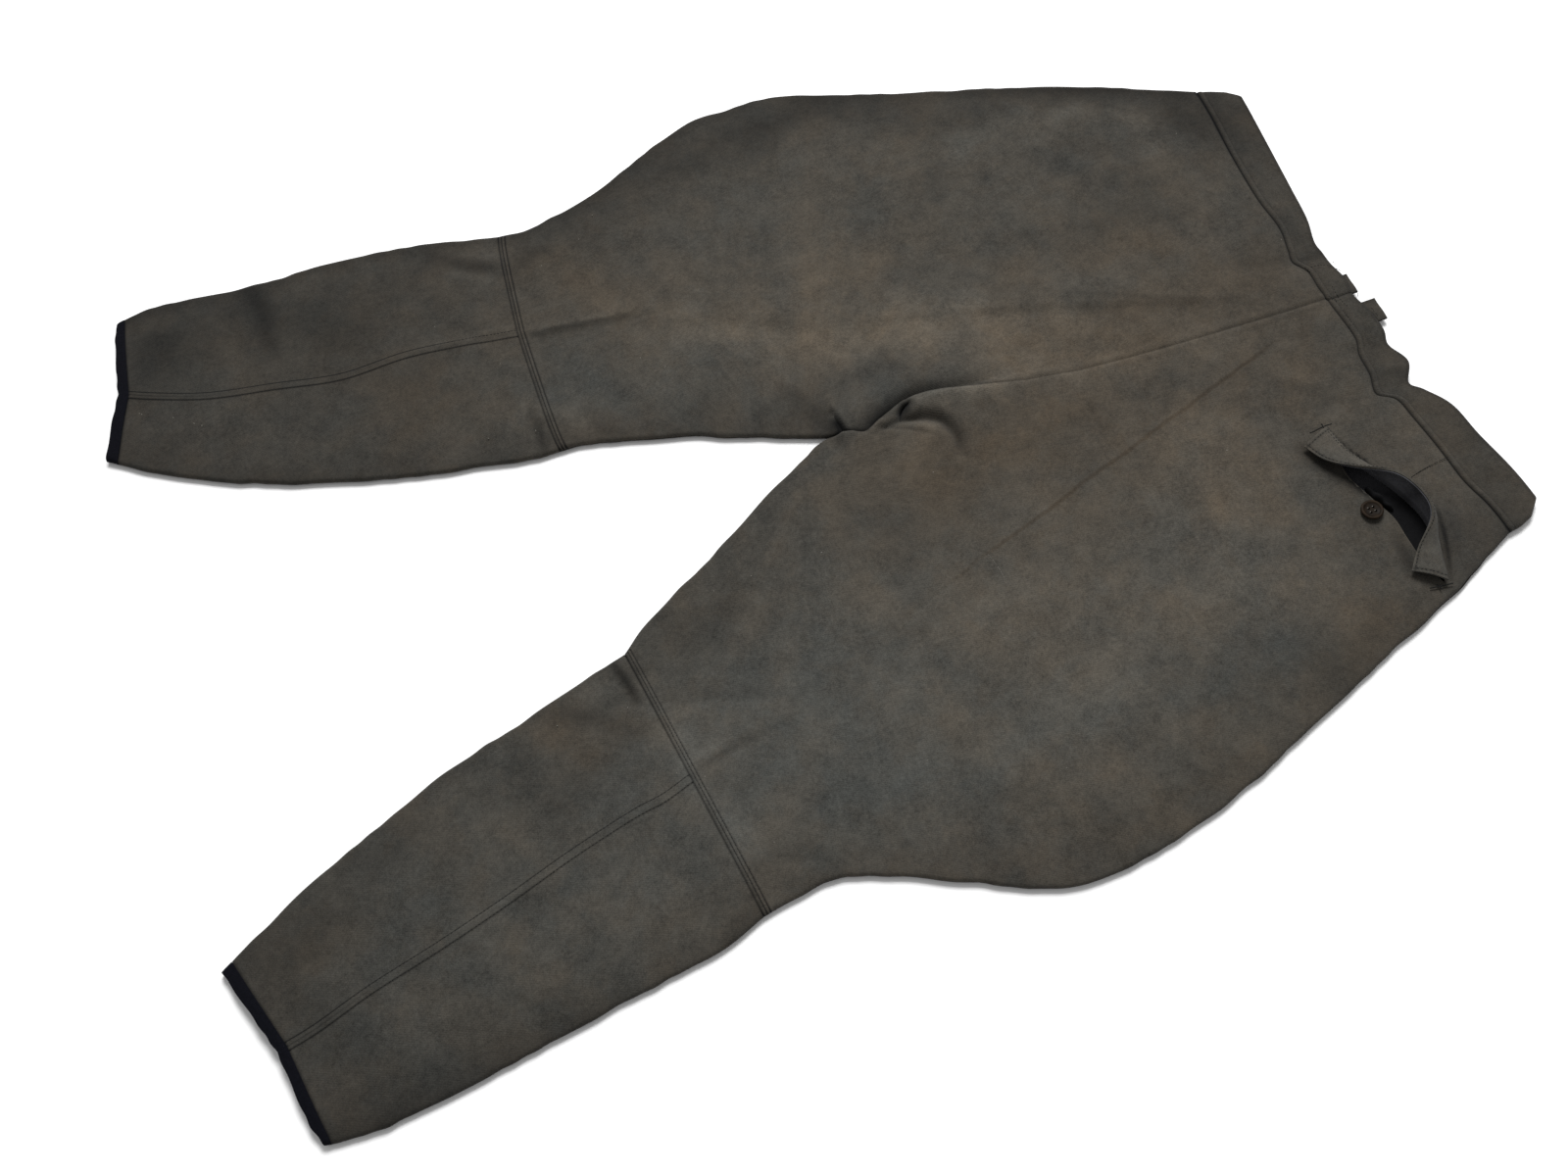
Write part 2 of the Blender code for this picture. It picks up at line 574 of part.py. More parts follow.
def flap_grid(offset):
    """The flap from its hinge to its loose edge, moved out of its own face by offset."""
    at = flap_rows()
    hinge_plan = np.column_stack([at["hinge_x"], at["hinge_y"]])
    hinge_z = seat_top(hinge_plan) + HINGE_LIFT
    hinge = np.column_stack([hinge_plan, hinge_z])
    free = np.column_stack([at["free_x"], at["free_y"], at["free_z"]])
    share = np.linspace(0.0, 1.0, 5)[:, None, None]
    grid = hinge + (free - hinge) * share
    down = free - hinge
    run = np.gradient(hinge, axis=0)
    out = np.cross(down, run)
    out /= np.linalg.norm(out, axis=1, keepdims=True)
    grid = grid + out * (FLAP_BULGE * 4 * share * (1 - share) + offset)
    return grid.transpose(1, 0, 2)


def pocket_flap(finish, lining_finish):
    """The flap's cloth and, on its under side, its lining."""
    cloth("pocket_flap", flap_grid(0.0), FLAP_CLOTH, finish)
    inward = -(FLAP_CLOTH + LINING) / 2 - LINING_CLEAR
    cloth("pocket_flap_lining", flap_grid(inward)[1:-1, :-1], LINING, lining_finish)


def mouth_outline(margin):
    """Closed outline of the pocket's mouth in plan, widened by margin."""
    at = flap_rows()
    upper = np.column_stack([at["hinge_x"] - HINGE_LEDGE + margin, at["hinge_y"]])
    lower = np.column_stack([at["lip_x"] - margin, at["lip_y"]])
    upper[0, 1] += margin
    lower[0, 1] += margin
    upper[-1, 1] -= margin
    lower[-1, 1] -= margin
    return np.vstack([upper, lower[::-1]])


def prism(name, outline, low, high, finish):
    """A flat-sided solid over an outline, between two heights."""
    shape = bmesh.new()
    base = [shape.verts.new((x * MM, y * MM, low * MM)) for x, y in outline]
    face = shape.faces.new(base)
    raised = bmesh.ops.extrude_face_region(shape, geom=[face])["geom"]
    corners = [v for v in raised if isinstance(v, bmesh.types.BMVert)]
    bmesh.ops.translate(shape, verts=corners, vec=(0, 0, (high - low) * MM))
    bmesh.ops.recalc_face_normals(shape, faces=shape.faces)
    mesh = bpy.data.meshes.new(name)
    shape.to_mesh(mesh)
    shape.free()
    return new_object(name, mesh, finish)


def cut(target, cutter):
    """Takes the cutter out of the target, and keeps the cutter as a hidden guide."""
    hole = target.modifiers.new("cut_" + cutter.name, "BOOLEAN")
    hole.operation = "DIFFERENCE"
    hole.object = cutter
    cutter.hide_render = True
    cutter.display_type = "WIRE"


def pocket_bag(finish):
    low, high = BAG_HEIGHT - LINING / 2, BAG_HEIGHT + LINING / 2
    return prism("pocket_bag", mouth_outline(BAG_MARGIN), low, high, finish)


def turned(name, section, finish):
    """A solid turned about Z from a section of distances in from the edge and depths."""
    shape = bmesh.new()
    points = [(BUTTON_RADIUS - inward, BUTTON_THICK / 2 - depth) for inward, depth in section]
    line = [shape.verts.new((x * MM, 0.0, z * MM)) for x, z in points]
    edges = [shape.edges.new(pair) for pair in zip(line, line[1:])]
    bmesh.ops.spin(shape, geom=line + edges, cent=(0, 0, 0), axis=(0, 0, 1),
                   angle=math.tau, steps=BUTTON_STEPS, use_merge=True)
    bmesh.ops.remove_doubles(shape, verts=shape.verts, dist=1e-6)
    bmesh.ops.recalc_face_normals(shape, faces=shape.faces)
    mesh = bpy.data.meshes.new(name)
    shape.to_mesh(mesh)
    shape.free()
    mesh.shade_smooth()
    mesh.set_sharp_from_angle(angle=math.radians(40))
    return new_object(name, mesh, finish)


def button(finish):
    """A turned button with a raised rim, a dished middle and four holes."""
    made = turned("pocket_button", BUTTON_SECTION, finish)
    seat = seat_top(np.array([BUTTON_AT]))[0]
    lean = BUTTON_RADIUS * math.sin(math.radians(BUTTON_TILT))
    height = seat + SEAM_GAP + BUTTON_THICK / 2 + lean
    made.location = (BUTTON_AT[0] * MM, BUTTON_AT[1] * MM, height * MM)
    made.rotation_euler = (math.radians(-BUTTON_TILT), 0.0, 0.0)
    pitch = BUTTON_HOLE_PITCH * MM
    for i, (x, y) in enumerate(((1, 1), (-1, 1), (-1, -1), (1, -1))):
        bpy.ops.mesh.primitive_cylinder_add(
            vertices=8, radius=BUTTON_HOLE * MM, depth=3 * BUTTON_THICK * MM,
            location=(x * pitch, y * pitch, 0))
        drill = bpy.context.active_object
        drill.name = f"button_hole_{i}"
        drill.parent = made
        cut(made, drill)
    return made


# ---------------------------------------------------------------- the garment
def build():
    for old in list(bpy.data.objects):
        bpy.data.objects.remove(old, do_unlink=True)
    wool = material("wool_cloth", *WOOL)
    band = material("waistband_cloth", *BAND)
    tape = material("hem_tape", *TAPE)
    lining = material("pocket_lining", *POCKETING)
    horn = material("button", *HORN)
    backs = {}
    for side in ("left", "right"):
        backs[side] = back_panel(side, wool)
        front_panel(side, wool)
        lower_leg(side, wool)
        hem_binding(side, tape)
        waistband(side, band)
        waist_loop(side, band)
    mouth = prism("pocket_mouth_cutter", mouth_outline(0.0), *CUT_HEIGHTS, lining)
    cut(backs["right"], mouth)
    pocket_bag(lining)
    pocket_flap(wool, lining)
    button(horn)


build()
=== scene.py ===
"""Knee breeches of heavy wool twill, laid flat with the seat uppermost.

Frame: metres, +Z up, the floor at z = 0. +X runs from the leg hems to the waist and +Y
to the wearer's left leg. Plans and heights are worked out in millimetres as whole arrays
and turned into metres when a mesh is made.

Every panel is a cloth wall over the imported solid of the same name. Its middle surface is
a grid of sections: plan curves through the tables below, and over them a height that is
the sum of the cloth's loft, its folds, and the valleys and ridges of its seams.
"""

import math

import bmesh
import bpy
import numpy as np
from mathutils import Matrix, Vector


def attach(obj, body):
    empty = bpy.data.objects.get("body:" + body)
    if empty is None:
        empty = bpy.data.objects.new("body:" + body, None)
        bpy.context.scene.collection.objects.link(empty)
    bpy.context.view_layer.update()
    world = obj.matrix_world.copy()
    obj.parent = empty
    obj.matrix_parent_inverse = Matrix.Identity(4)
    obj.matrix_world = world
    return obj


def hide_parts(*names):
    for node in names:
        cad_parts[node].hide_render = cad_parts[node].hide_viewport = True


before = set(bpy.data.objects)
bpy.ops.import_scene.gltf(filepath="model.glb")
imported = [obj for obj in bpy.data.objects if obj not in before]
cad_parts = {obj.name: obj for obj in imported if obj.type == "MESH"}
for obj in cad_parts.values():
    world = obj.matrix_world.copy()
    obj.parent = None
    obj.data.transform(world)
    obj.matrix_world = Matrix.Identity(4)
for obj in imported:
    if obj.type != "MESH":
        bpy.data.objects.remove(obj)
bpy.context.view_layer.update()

MM = 0.001

# ---------------------------------------------------------------- driving sizes, mm
CLOTH = 2.0  # wall of the wool cloth
BAND_CLOTH = 2.6  # wall of the interlined waistband
BINDING_CLOTH = 2.4  # wall of the folded tape on the leg hems
FLAP_CLOTH = 1.6
LINING = 0.8
LOOP_CLOTH = 0.9
SEAM_GAP = 0.3  # clear space between two sewn pieces
BEND = 2.0  # radius of the cloth's middle where it turns under at an edge
BINDING_WIDTH = 8.0  # of the tape that shows round a hem
BINDING_PUFF = 0.5  # how far the tape swells between its edges
LOFT = 2.4  # how much the seat side stands off in the middle of a leg
LOFT_REACH = 22.0  # distance from an edge over which it comes up

LOW = CLOTH / 2  # middle of the front side, which rests on the floor
SIDE = LOW + BEND  # height of the side seam
HIGH = LOW + 2 * BEND  # middle of the seat side at an edge
LOWEST = CLOTH + SEAM_GAP + CLOTH / 2  # a trough stops where the two sides touch
BAND_LOW = BAND_CLOTH / 2
BAND_BEND = 2.2
BAND_HIGH = BAND_LOW + 2 * BAND_BEND
SIDE_CLEAR = 0.25  # from the side seam to the middle of each cut edge
FAR = 1000.0  # a distance past the reach of any edge

BEND_ANGLES = np.radians([0.0, 10.0, 24.0, 42.0, 64.0, 90.0])
SEAM_COLUMNS = np.array([0.0, 0.5, 1.0, 1.6, 2.3, 3.2])  # from a seam that has no bend

# Sections of a leg from the knee seam to the crotch.
# outer_x, outer_y: point on the side edge. inner_x, inner_y: point on the inseam.
THIGH = {
    "left": (
        (-154, 315.5, -168, 95),
        (-130, 313.5, -150, 93.5),
        (-100, 319.5, -115, 84),
        (-65, 329, -75, 72),
        (-30, 345, -35, 55),
        (0, 359.5, 0, 40.5),
        (30, 370.5, 25, 30),
    ),
    "right": (
        (-148, -313.5, -176, -91),
        (-120, -308.5, -150, -71),
        (-90, -306.7, -115, -52),
        (-55, -319.5, -75, -30),
        (-20, -336, -35, -5),
        (10, -351, 0, 13),
        (40, -366, 25, 25.5),
    ),
}

# Sections of the seat from the crotch to the waist seam.
# left_x, left_y, right_x, right_y: points on the side edges. centre_x, centre_y: point on
# the seam between the halves.
SEAT = (
    (50, 372.5, 42, 25, 60, -371),
    (70, 372.5, 60, 17.5, 75, -372.2),
    (90, 372.5, 80, 24.5, 92, -372),
    (108, 371.5, 100, 31, 110, -370),
    (130, 365.5, 125, 28.5, 135, -366.5),
    (155, 354.5, 150, 22.5, 160, -361),
    (205, 336, 200, 14, 210, -346),
    (262, 316.5, 260, 7, 268, -324),
    (325, 294.5, 330, 2, 335, -298),
    (390, 266, 395, -1, 405, -272.5),
    (453, 235, 450.5, -3, 474, -240.5),
)
CROTCH = len(THIGH["left"])  # row number of the crotch in a half's sections
WAIST_ROW = CROTCH + len(SEAT) - 1

# Sections of the lower leg, from the hem to the knee seam.
# outer_x, outer_y, inner_x, inner_y: the two edges. seam: how far across, from outer to
# inner, the calf seam lies. kink: how far the section is drawn to the waist there.
CALF = {
    "left": (
        (-476, 350, -507, 221, 0.57, 9),
        (-445, 355, -475, 197.5, 0.58, 4),
        (-400, 349.5, -430, 170.5, 0.57, 0),
        (-350, 344.5, -380, 148, 0.55, 0),
        (-300, 343.5, -325, 128, 0.55, 0),
        (-250, 338.5, -270, 113, 0.5, 0),
        (-200, 328, -220, 102.5, 0.48, -2.5),
        (-178, 321.5, -193, 96, 0.47, -5),
        (-154, 315.5, -168, 95, 0.47, -7.5),
    ),
    "right": (
        (-471, -352.5, -507, -216, 0.5, 6.5),
        (-440, -356, -475, -197.5, 0.49, 2.5),
        (-400, -354, -430, -175, 0.49, 0),
        (-350, -348, -380, -153.5, 0.48, 0),
        (-300, -341.5, -325, -132, 0.48, 0),
        (-250, -334, -270, -117, 0.5, 0),
        (-200, -328, -220, -103, 0.51, 0),
        (-173, -322, -197, -96.5, 0.5, 0),
        (-148, -313.5, -176, -91, 0.5, 0),
    ),
}

# Where a hem's edge stands in or out: a y, the reach either way and how far in.
HEM_EDGE = {
    "left": ((276, 50, -1.5), (350, 8, 2.5), (214, 7, 1.5)),
    "right": ((-354, 10, 3.5),),
}

# The waistband's seat side, from the wearer's right to left.
# seam_x: its lower seam. edge_x: its upper edge. lift: how far its gathers stand up.
WAIST_COLUMNS = ("y", "seam_x", "edge_x", "lift")
WAIST = (
    (-240, 474, 507, 0),
    (-215, 471, 506, 0),
    (-190, 464.5, 502.5, 0.4),
    (-158, 461.5, 495.5, 0.8),
    (-128, 457, 490, 1.8),
    (-108, 453.5, 477.5, 1.8),
    (-97, 442, 470, 0.6),
    (-80, 445, 478.5, 2.8),
    (-60, 447.5, 473, 0.8),
    (-46, 451.5, 476, 2.4),
    (-26, 450.5, 474.5, 3),
    (-8, 449.5, 470.5, 2),
    (8, 448, 472, 3),
    (26, 448.5, 469, 1.8),
    (40, 442.5, 469, 0.2),
    (52, 444.5, 468, 0.8),
    (75, 448, 473, 2.2),
    (110, 446.5, 477, 0.6),
    (160, 448.5, 481.5, 0),
    (205, 452, 485, 0),
    (235, 453, 486, 0),
)
# Where the band folds at the hip, from its seam to its upper edge.
BAND_END = {
    "left": (234, 230, 225, 216),
    "right": (-240.5, -239, -235, -224),
}
BAND_CENTRE = -5.0  # y where the band's two halves meet
BAND_LENGTH, BAND_WIDTH = 235.0, 33.0  # of half a band, for laying out its points
BAND_STEP = 1.7
BAND_BEHIND = 2.0  # how far the front's upper edge stays behind the back's
SEAM_BLEND = (350.0, 450.0)  # x over which the seat follows the band's wavy seam
GATHER_REACH = 42.0  # how far the band's gathers run down into the seat

# Folds of the seat side: a curve from start over middle to end, its height, and how far
# it reaches to the left and right of its direction.
# x0, y0, x1, y1, x2, y2, height, left, right
FOLDS = {
    "seat_rise": (0, 40, 110, 15, 230, 0, 5, 60, 60),
    "left_trough": (46, 8, 44.5, 30, 41, 48, -6, 5, 1.8),
    "left_trough_high": (40, 40, 32, 58, 18, 80, -1.5, 9, 6),
    "left_bulge": (53, 14, 57, 48, 74, 90, 4.5, 7, 11),
    "left_centre_trough": (54, 8, 86, 47, 168, 20, -8, 11, 10),
    "seat_ridge": (92, 26, 122, 35, 192, 15, 3.6, 3, 22),
    "right_gusset_fold": (60, 15, 80, 27, 97, 31, 3.2, 3.5, 4.5),
    "right_tuck": (86.5, 15.5, 89.5, 28, 101.5, 27, -6, 1.6, 2.8),
    "right_tuck_rim": (62, 15.5, 81, 21, 102, 17.5, 2.6, 2.2, 2.6),
    "right_tuck_rim_end": (98, 17, 106, 19, 105, 31, 2.4, 2.2, 2.6),
    "right_trough": (69, 16, 139, 20, 119, -32, -5.5, 5, 5),
    "right_bulge": (74, 12, 104, 10, 112, -14, 2.2, 4, 9),
    "right_thin_crease": (64, 18, 86, 12, 108, -7, -1.4, 1.5, 2.5),
    "left_crease_knee": (-168, 211, -120, 204, -40, 190, 1.7, 20, 4),
    "left_crease_low": (-90, 200, 0, 168, 130, 106, 2.6, 34, 12),
    "left_crease_high": (90, 122, 230, 86, 410, 14, 2.4, 30, 6),
    "right_crease_low": (-160, -196, -30, -160, 110, -112, 1.2, 14, 14),
    "right_crease": (80, -122, 250, -64, 400, -22, 2, 24, 18),
    "right_hollow": (120, -10, 190, -50, 300, -60, -1.2, 30, 30),
    "left_seat_crease": (250, 150, 330, 190, 440, 172, 1.6, 14, 26),
    "hip_ripple": (200, 300, 270, 285, 330, 250, 1.2, 22, 22),
    "hip_hollow_left": (400, 235, 430, 200, 440, 150, -1.6, 16, 16),
    "left_calf_band": (-352, 345, -360, 300, -350, 255, -1.3, 12, 12),
    "left_calf_ridge": (-330, 345, -318, 300, -330, 255, 1.2, 14, 14),
    "left_knee_valley": (-206, 296, -186, 284, -163, 278, -1.4, 7, 7),
    "left_knee_ridge": (-200, 308, -180, 297, -163, 287, 1.4, 6, 6),
    "left_knee_pinch": (-204, 222, -188, 221, -169, 217, 1.3, 5, 3),
    "left_knee_dent": (-153, 207, -150, 201, -152, 192, -1.5, 4, 4),
    "left_knee_notch": (-181, 138, -177, 116, -181, 92, -1.8, 5, 5),
    "left_knee_fan": (-168, 146, -150, 124, -130, 106, 1.4, 9, 9),
    "left_knee_corner": (-138, 303, -130, 307, -122, 312, 1.2, 3, 3),
    "right_knee_groove": (-189, -90, -181, -110, -179, -138, -3.8, 4, 4.5),
    "right_knee_valley": (-252, -112, -210, -126, -182, -168, -2.2, 9, 11),
    "right_knee_swell": (-215, -110, -200, -118, -186, -122, 1.4, 8, 8),
    "right_knee_crease": (-164, -139, -122, -150, -78, -169, -1.6, 8, 3),
    "right_knee_fan": (-156, -198, -125, -192, -86, -186, -1.2, 3, 5),
    "right_knee_swell_low": (-158, -215, -150, -240, -142, -290, 1, 9, 9),
    "right_nick": (-132, -273, -120, -282, -92, -294, -0.9, 2.4, 3.5),
    "band_pucker_right": (462, -86, 430, -88, 390, -96, -1.6, 10, 10),
    "band_pucker_left": (462, 38, 425, 42, 390, 52, -1.6, 10, 10),
    "right_seam_dip": (50, 20, 60, 15, 70, 20, -2.2, 4, 4),
}
# Lines on the seat side of painted shade (shade below 0) and painted highlight (above 0),
# with some soil and rubbed nap among them: shade in troughs, creases, the pocket's mouth
# and under the flap, light on crests and ridges. A curve as in FOLDS, its shade, and its
# two reaches.
SHADE_AND_SOIL_LINES = {
    "left_trough": (46, 8, 45, 27, 42.5, 42, -1, 5, 2.2),
    "left_trough_high": (45, 16, 38, 48, 10, 86, -0.36, 15, 5),
    "left_gusset_edge": (26, 26, 44, 28.5, 64, 16, -0.55, 1.6, 1.6),
    "left_centre_trough": (54, 8, 86, 47, 168, 20, -0.54, 10, 7),
    "left_centre_trough_low": (55, 11, 74, 31, 118, 35, -0.8, 6, 3),
    "left_centre_crease": (66, 23, 108, 41, 178, 18.5, -0.42, 2.4, 1.6),
    "right_tuck": (86.5, 15.5, 89.5, 28, 101.5, 27, -1.08, 2.4, 2.7),
    "right_tuck_hollow": (89.5, 18, 97.5, 22, 101.5, 30, -0.58, 4, 4),
    "right_rim_light": (62, 16, 81, 21.5, 103, 17.5, 0.22, 1.2, 1.4),
    "right_rim_light_end": (99, 17.5, 106.5, 19, 105.5, 30, 0.2, 1.2, 1.4),
    "right_trough": (69, 16, 139, 20, 119, -32, -0.64, 6, 5),
    "right_thin_crease": (62, 18, 86, 12, 108, -7, -0.35, 0.9, 0.9),
    "right_bulge_light": (76, 15, 106, 14, 117, -8, 0.14, 2, 5),
    "left_crease_knee": (-168, 210.5, -132, 204, -72, 194, -0.24, 1, 7),
    "left_crease_light": (-172, 212.5, -140, 208, -50, 192, 0.18, 5, 0.8),
    "left_crease_high": (250, 86, 320, 48, 398, 18, -0.2, 2, 4),
    "right_crease_low": (-158, -199, -60, -166, 60, -130, -0.13, 2.2, 2.2),
    "right_strip_light": (66, 14, 82, 25, 98, 32, 0.12, 2.5, 2.5),
    "waist_crease": (360, -52, 396, -78, 440, -116, -0.12, 7, 6),
    "waist_crease_light": (372, -46, 420, -78, 450, -98, 0.12, 4, 4),
    "waist_crease_high": (380, -14, 410, -24, 446, -42, -0.1, 5, 5),
    "waist_crease_left": (380, 60, 420, 54, 446, 40, -0.12, 6, 6),
    "flap_crease": (335, -102, 367, -104, 394, -97, -0.12, 1.6, 1.6),
    "right_calf_light": (-450, -270, -300, -237, -166, -207, 0.16, 2, 1.6),
    "right_knee_light": (-170, -190, -140, -186, -90, -176, 0.14, 2.5, 3),
    "right_knee_groove": (-189, -90, -181, -110, -179, -138, -0.7, 4, 4.5),
    "right_knee_valley": (-252, -112, -210, -126, -182, -168, -0.32, 8, 10),
    "right_knee_valley_light": (-214, -104, -200, -114, -188, -116, 0.14, 6, 6),
    "right_knee_crease": (-164, -140, -122, -150, -78, -168, -0.22, 8, 2),
    "right_nick": (-130, -274, -120, -281, -111, -285, -0.28, 1.3, 1.3),
    "right_nick_end": (-108, -286, -101, -289, -92, -294, -0.25, 1.3, 1.3),
    "left_knee_notch": (-181, 138, -177, 116, -181, 92, -0.45, 4.5, 4),
    "left_knee_valley": (-226, 316, -186, 300, -160, 272, -0.3, 9, 7),
    "left_knee_ridge": (-212, 300, -186, 284, -163, 262, 0.16, 5, 5),
    "left_knee_upper": (-158, 270, -142, 282, -118, 288, -0.22, 6, 6),
    "left_calf_light": (-260, 230, -205, 221, -170, 216, 0.2, 4, 2.5),
    "left_knee_dent": (-153, 206, -150, 201, -152, 192, -0.22, 3, 3),
    "band_dip_left": (446, 40, 458, 38, 472, 38, -0.26, 3.5, 3.5),
    "band_dip_right": (444, -82, 460, -84, 476, -87, -0.26, 4, 4),
    "flap_shadow": (362, -114, 370, -142, 394, -176, -0.66, 7, 7),
    "flap_shadow_end": (396, -210, 385, -230, 394, -252, -0.45, 6, 6),
    "flap_hinge": (433, -200, 427, -230, 411.5, -262, -0.6, 1.9, 2.2),
    "flap_hinge_end": (388.5, -110, 396, -134, 405, -153, -0.8, 1.3, 1.3),
    "mouth_rim": (399, -138, 409, -172, 420, -200, -0.9, 2.2, 2.2),
    "mouth_rim_end": (419, -196, 422, -222, 410, -250, -0.9, 2.2, 2.2),
    "right_knee_crease_light": (-160, -147, -122, -158, -84, -175, 0.1, 2.5, 6),
    "right_knee_fan": (-156, -198, -125, -192, -86, -186, -0.22, 2.6, 2.6),
    "right_knee_fan_light": (-160, -190, -146, -188, -126, -187, 0.14, 4, 3),
    "left_knee_vee": (-206, 116, -196, 132, -180, 148, 0.14, 4, 4),
    "facing_shadow": (383, -152, 388, -170, 396, -190, -0.6, 1.4, 2.6),
    "right_crest_light": (98, 27, 126, 30, 180, 12, 0.56, 2, 7),
}

# Where the wool is rubbed, faded or stained, with painted light and shade mixed in:
# soft oval patches. The pale streak along the left thigh stands partly for a slope that
# faces the light, and other patches partly for slopes turned toward or away from it.
# x, y, reach along, reach across, direction in degrees, shade (above 0 lighter), and tone
# (above 0 browner)
PATCHES = (
    (-340, 245, 190, 110, -14, -0.31, -0.06), (-474, 280, 40, 100, -10, -0.3, -0.06),
    (-355, 310, 10, 46, 0, -0.3, 0), (-300, 255, 30, 26, 0, -0.12, 0),
    (-205, 262, 34, 40, 0, 0.02, 0), (-268, 172, 34, 26, 0, 0.02, 0.2),
    (-340, -240, 190, 110, 14, -0.06, -0.22), (-468, -270, 40, 100, 10, -0.26, 0),
    (-230, -140, 36, 17, -18, -0.04, 0.3), (-262, -168, 44, 20, -20, -0.1, 0),
    (-230, -282, 62, 24, 8, 0.12, -0.05), (-148, 125, 26, 9, -48, 0.36, 0),
    (-120, 104, 24, 10, -40, -0.28, 0), (-150, -225, 60, 9, -80, 0.26, -0.1),
    (-165, -165, 20, 13, 0, 0.22, -0.05), (-105, 250, 46, 46, 0, 0.02, 0.26),
    (-140, 148, 30, 45, -10, 0, -0.3), (-75, 122, 62, 36, -10, 0.04, -0.22),
    (-10, 68, 60, 18, -35, -0.06, -0.1), (-28, 160, 50, 26, -33, 0.44, 0.2),
    (42, 122, 52, 32, -34, 0.42, 0.2), (122, 92, 64, 32, -20, 0.5, 0.24),
    (205, 60, 50, 22, -20, 0.34, 0.1), (248, 58, 14, 13, 0, 0.38, 0.15),
    (210, 20, 90, 15, -8, 0.36, 0), (65, 172, 14, 24, 0, 0.16, 0.1),
    (115, 178, 42, 28, 0, 0.12, 0.18), (50, 250, 130, 46, -10, 0, -0.12),
    (40, 340, 170, 38, 4, -0.32, -0.1), (205, 322, 80, 28, -15, -0.18, 0),
    (204, 222, 20, 24, 0, -0.3, -0.1), (252, 252, 34, 12, 15, 0.26, -0.28),
    (325, 248, 42, 12, -12, 0.38, -0.05), (386, 212, 13, 34, 18, 0.28, 0),
    (302, 218, 20, 14, 0, -0.16, 0), (352, 178, 46, 36, 0, -0.24, -0.1),
    (290, 108, 46, 26, 0, 0.06, 0), (448, 208, 36, 50, 0, -0.46, 0),
    (350, 280, 100, 30, -25, -0.32, 0), (436, 120, 12, 60, 0, -0.12, 0),
    (232, 122, 19, 19, 0, 0.04, 0.34), (335, 95, 60, 24, -5, 0, 0.25),
    (265, 30, 82, 28, -3, 0, 0.3), (200, -30, 130, 60, 0, -0.06, 0.28),
    (125, -32, 40, 15, 50, 0, 0.22), (390, 10, 70, 60, 0, -0.04, 0.2),
    (0, -200, 300, 120, 12, 0.11, 0), (200, -180, 150, 90, 0, 0.16, -0.04),
    (120, -170, 46, 40, 0, 0.1, 0.05), (130, -262, 64, 34, 0, 0.2, 0),
    (295, -85, 34, 22, 0, 0.3, 0.1), (205, -205, 40, 30, 0, 0.08, 0),
    (30, -46, 60, 40, -30, -0.08, -0.12), (-112, -92, 44, 26, 25, -0.27, 0),
    (-80, -185, 130, 80, 10, 0.12, -0.28), (-20, -262, 80, 60, 0, 0.04, -0.18),
    (262, -272, 35, 25, 0, -0.05, -0.3), (165, -276, 40, 30, 0, 0, -0.16),
    (300, -130, 40, 30, 0, 0.04, 0.24), (345, -276, 46, 20, -20, 0, 0.36),
    (400, -75, 60, 30, 0, 0, 0.15), (445, -225, 50, 30, -15, -0.26, 0),
    (100, -368, 150, 24, 0, 0.04, 0), (88, 36, 46, 24, 0, -0.04, -0.3),
    (-230, -205, 60, 26, 15, 0.12, 0), (-100, 292, 80, 34, 6, -0.16, 0),
    (350, 132, 50, 20, 0, -0.14, 0), (320, 4, 130, 22, -3, 0.12, 0),
    (280, -176, 30, 52, 0, 0.22, 0), (-30, -128, 60, 46, 18, 0.1, 0),
    (30, -272, 150, 22, 0, 0, -0.14), (-385, 150, 60, 20, -30, -0.12, 0),
    (-385, -165, 70, 22, 25, -0.18, 0), (-345, 304, 170, 44, -8, -0.21, 0),
    (-258, 192, 34, 26, 0, -0.14, 0), (262, 276, 84, 26, -8, -0.24, 0),
    (378, 246, 44, 28, -20, -0.2, 0), (95, 342, 85, 24, 0, -0.21, 0),
    (-15, 290, 48, 26, 0, -0.13, 0), (160, 96, 30, 22, 0, 0.2, 0), (285, 78, 30, 16, 0, 0.1, 0),
    (86, 62, 34, 15, 0, -0.24, 0), (422, 20, 34, 55, 0, -0.12, 0), (412, -78, 30, 42, 0, -0.1, 0),
    (425, -185, 32, 52, 0, -0.15, 0), (85, -66, 34, 28, 0, -0.09, 0),
    (-240, -164, 32, 24, 0, -0.09, 0), (-452, -208, 48, 28, 10, -0.16, 0),
    (-410, -338, 64, 22, 14, -0.12, 0), (-280, -262, 34, 22, 0, 0.08, 0),
    (-238, -322, 40, 14, 8, 0.16, 0), (112, -252, 70, 36, 10, 0.1, 0),
    (262, -238, 40, 40, 0, 0.08, 0), (298, -292, 46, 20, -25, -0.22, 0),
    (368, -192, 22, 18, 0, -0.2, 0), (-440, 318, 46, 22, -20, -0.14, 0),
    (-160, 298, 22, 20, 0, 0.26, 0), (320, 136, 34, 26, 0, -0.09, 0),
    (108, 10, 32, 15, 0, 0.2, 0), (100, -250, 90, 40, 10, 0.05, 0),
)
# How much darker the wool is painted at a piece's outer edge and at its inner one:
# painted shade where an edge turns away from the light, together with soil.
EDGE_SHADE_AND_SOIL = {
    "back_left": (0.30, 0.22), "back_right": (0.12, 0.06),
    "lower_leg_left": (0.34, 0.18), "lower_leg_right": (0.34, 0.06),
}
CURVE_PIECES = 16  # straight pieces that stand for a fold's curve
FADE_POWER = 0.6  # below 1, a fold keeps its height longer before it fades at its ends
BELL_ENDS = 2.6  # a fold is left out this many reaches away from its curve

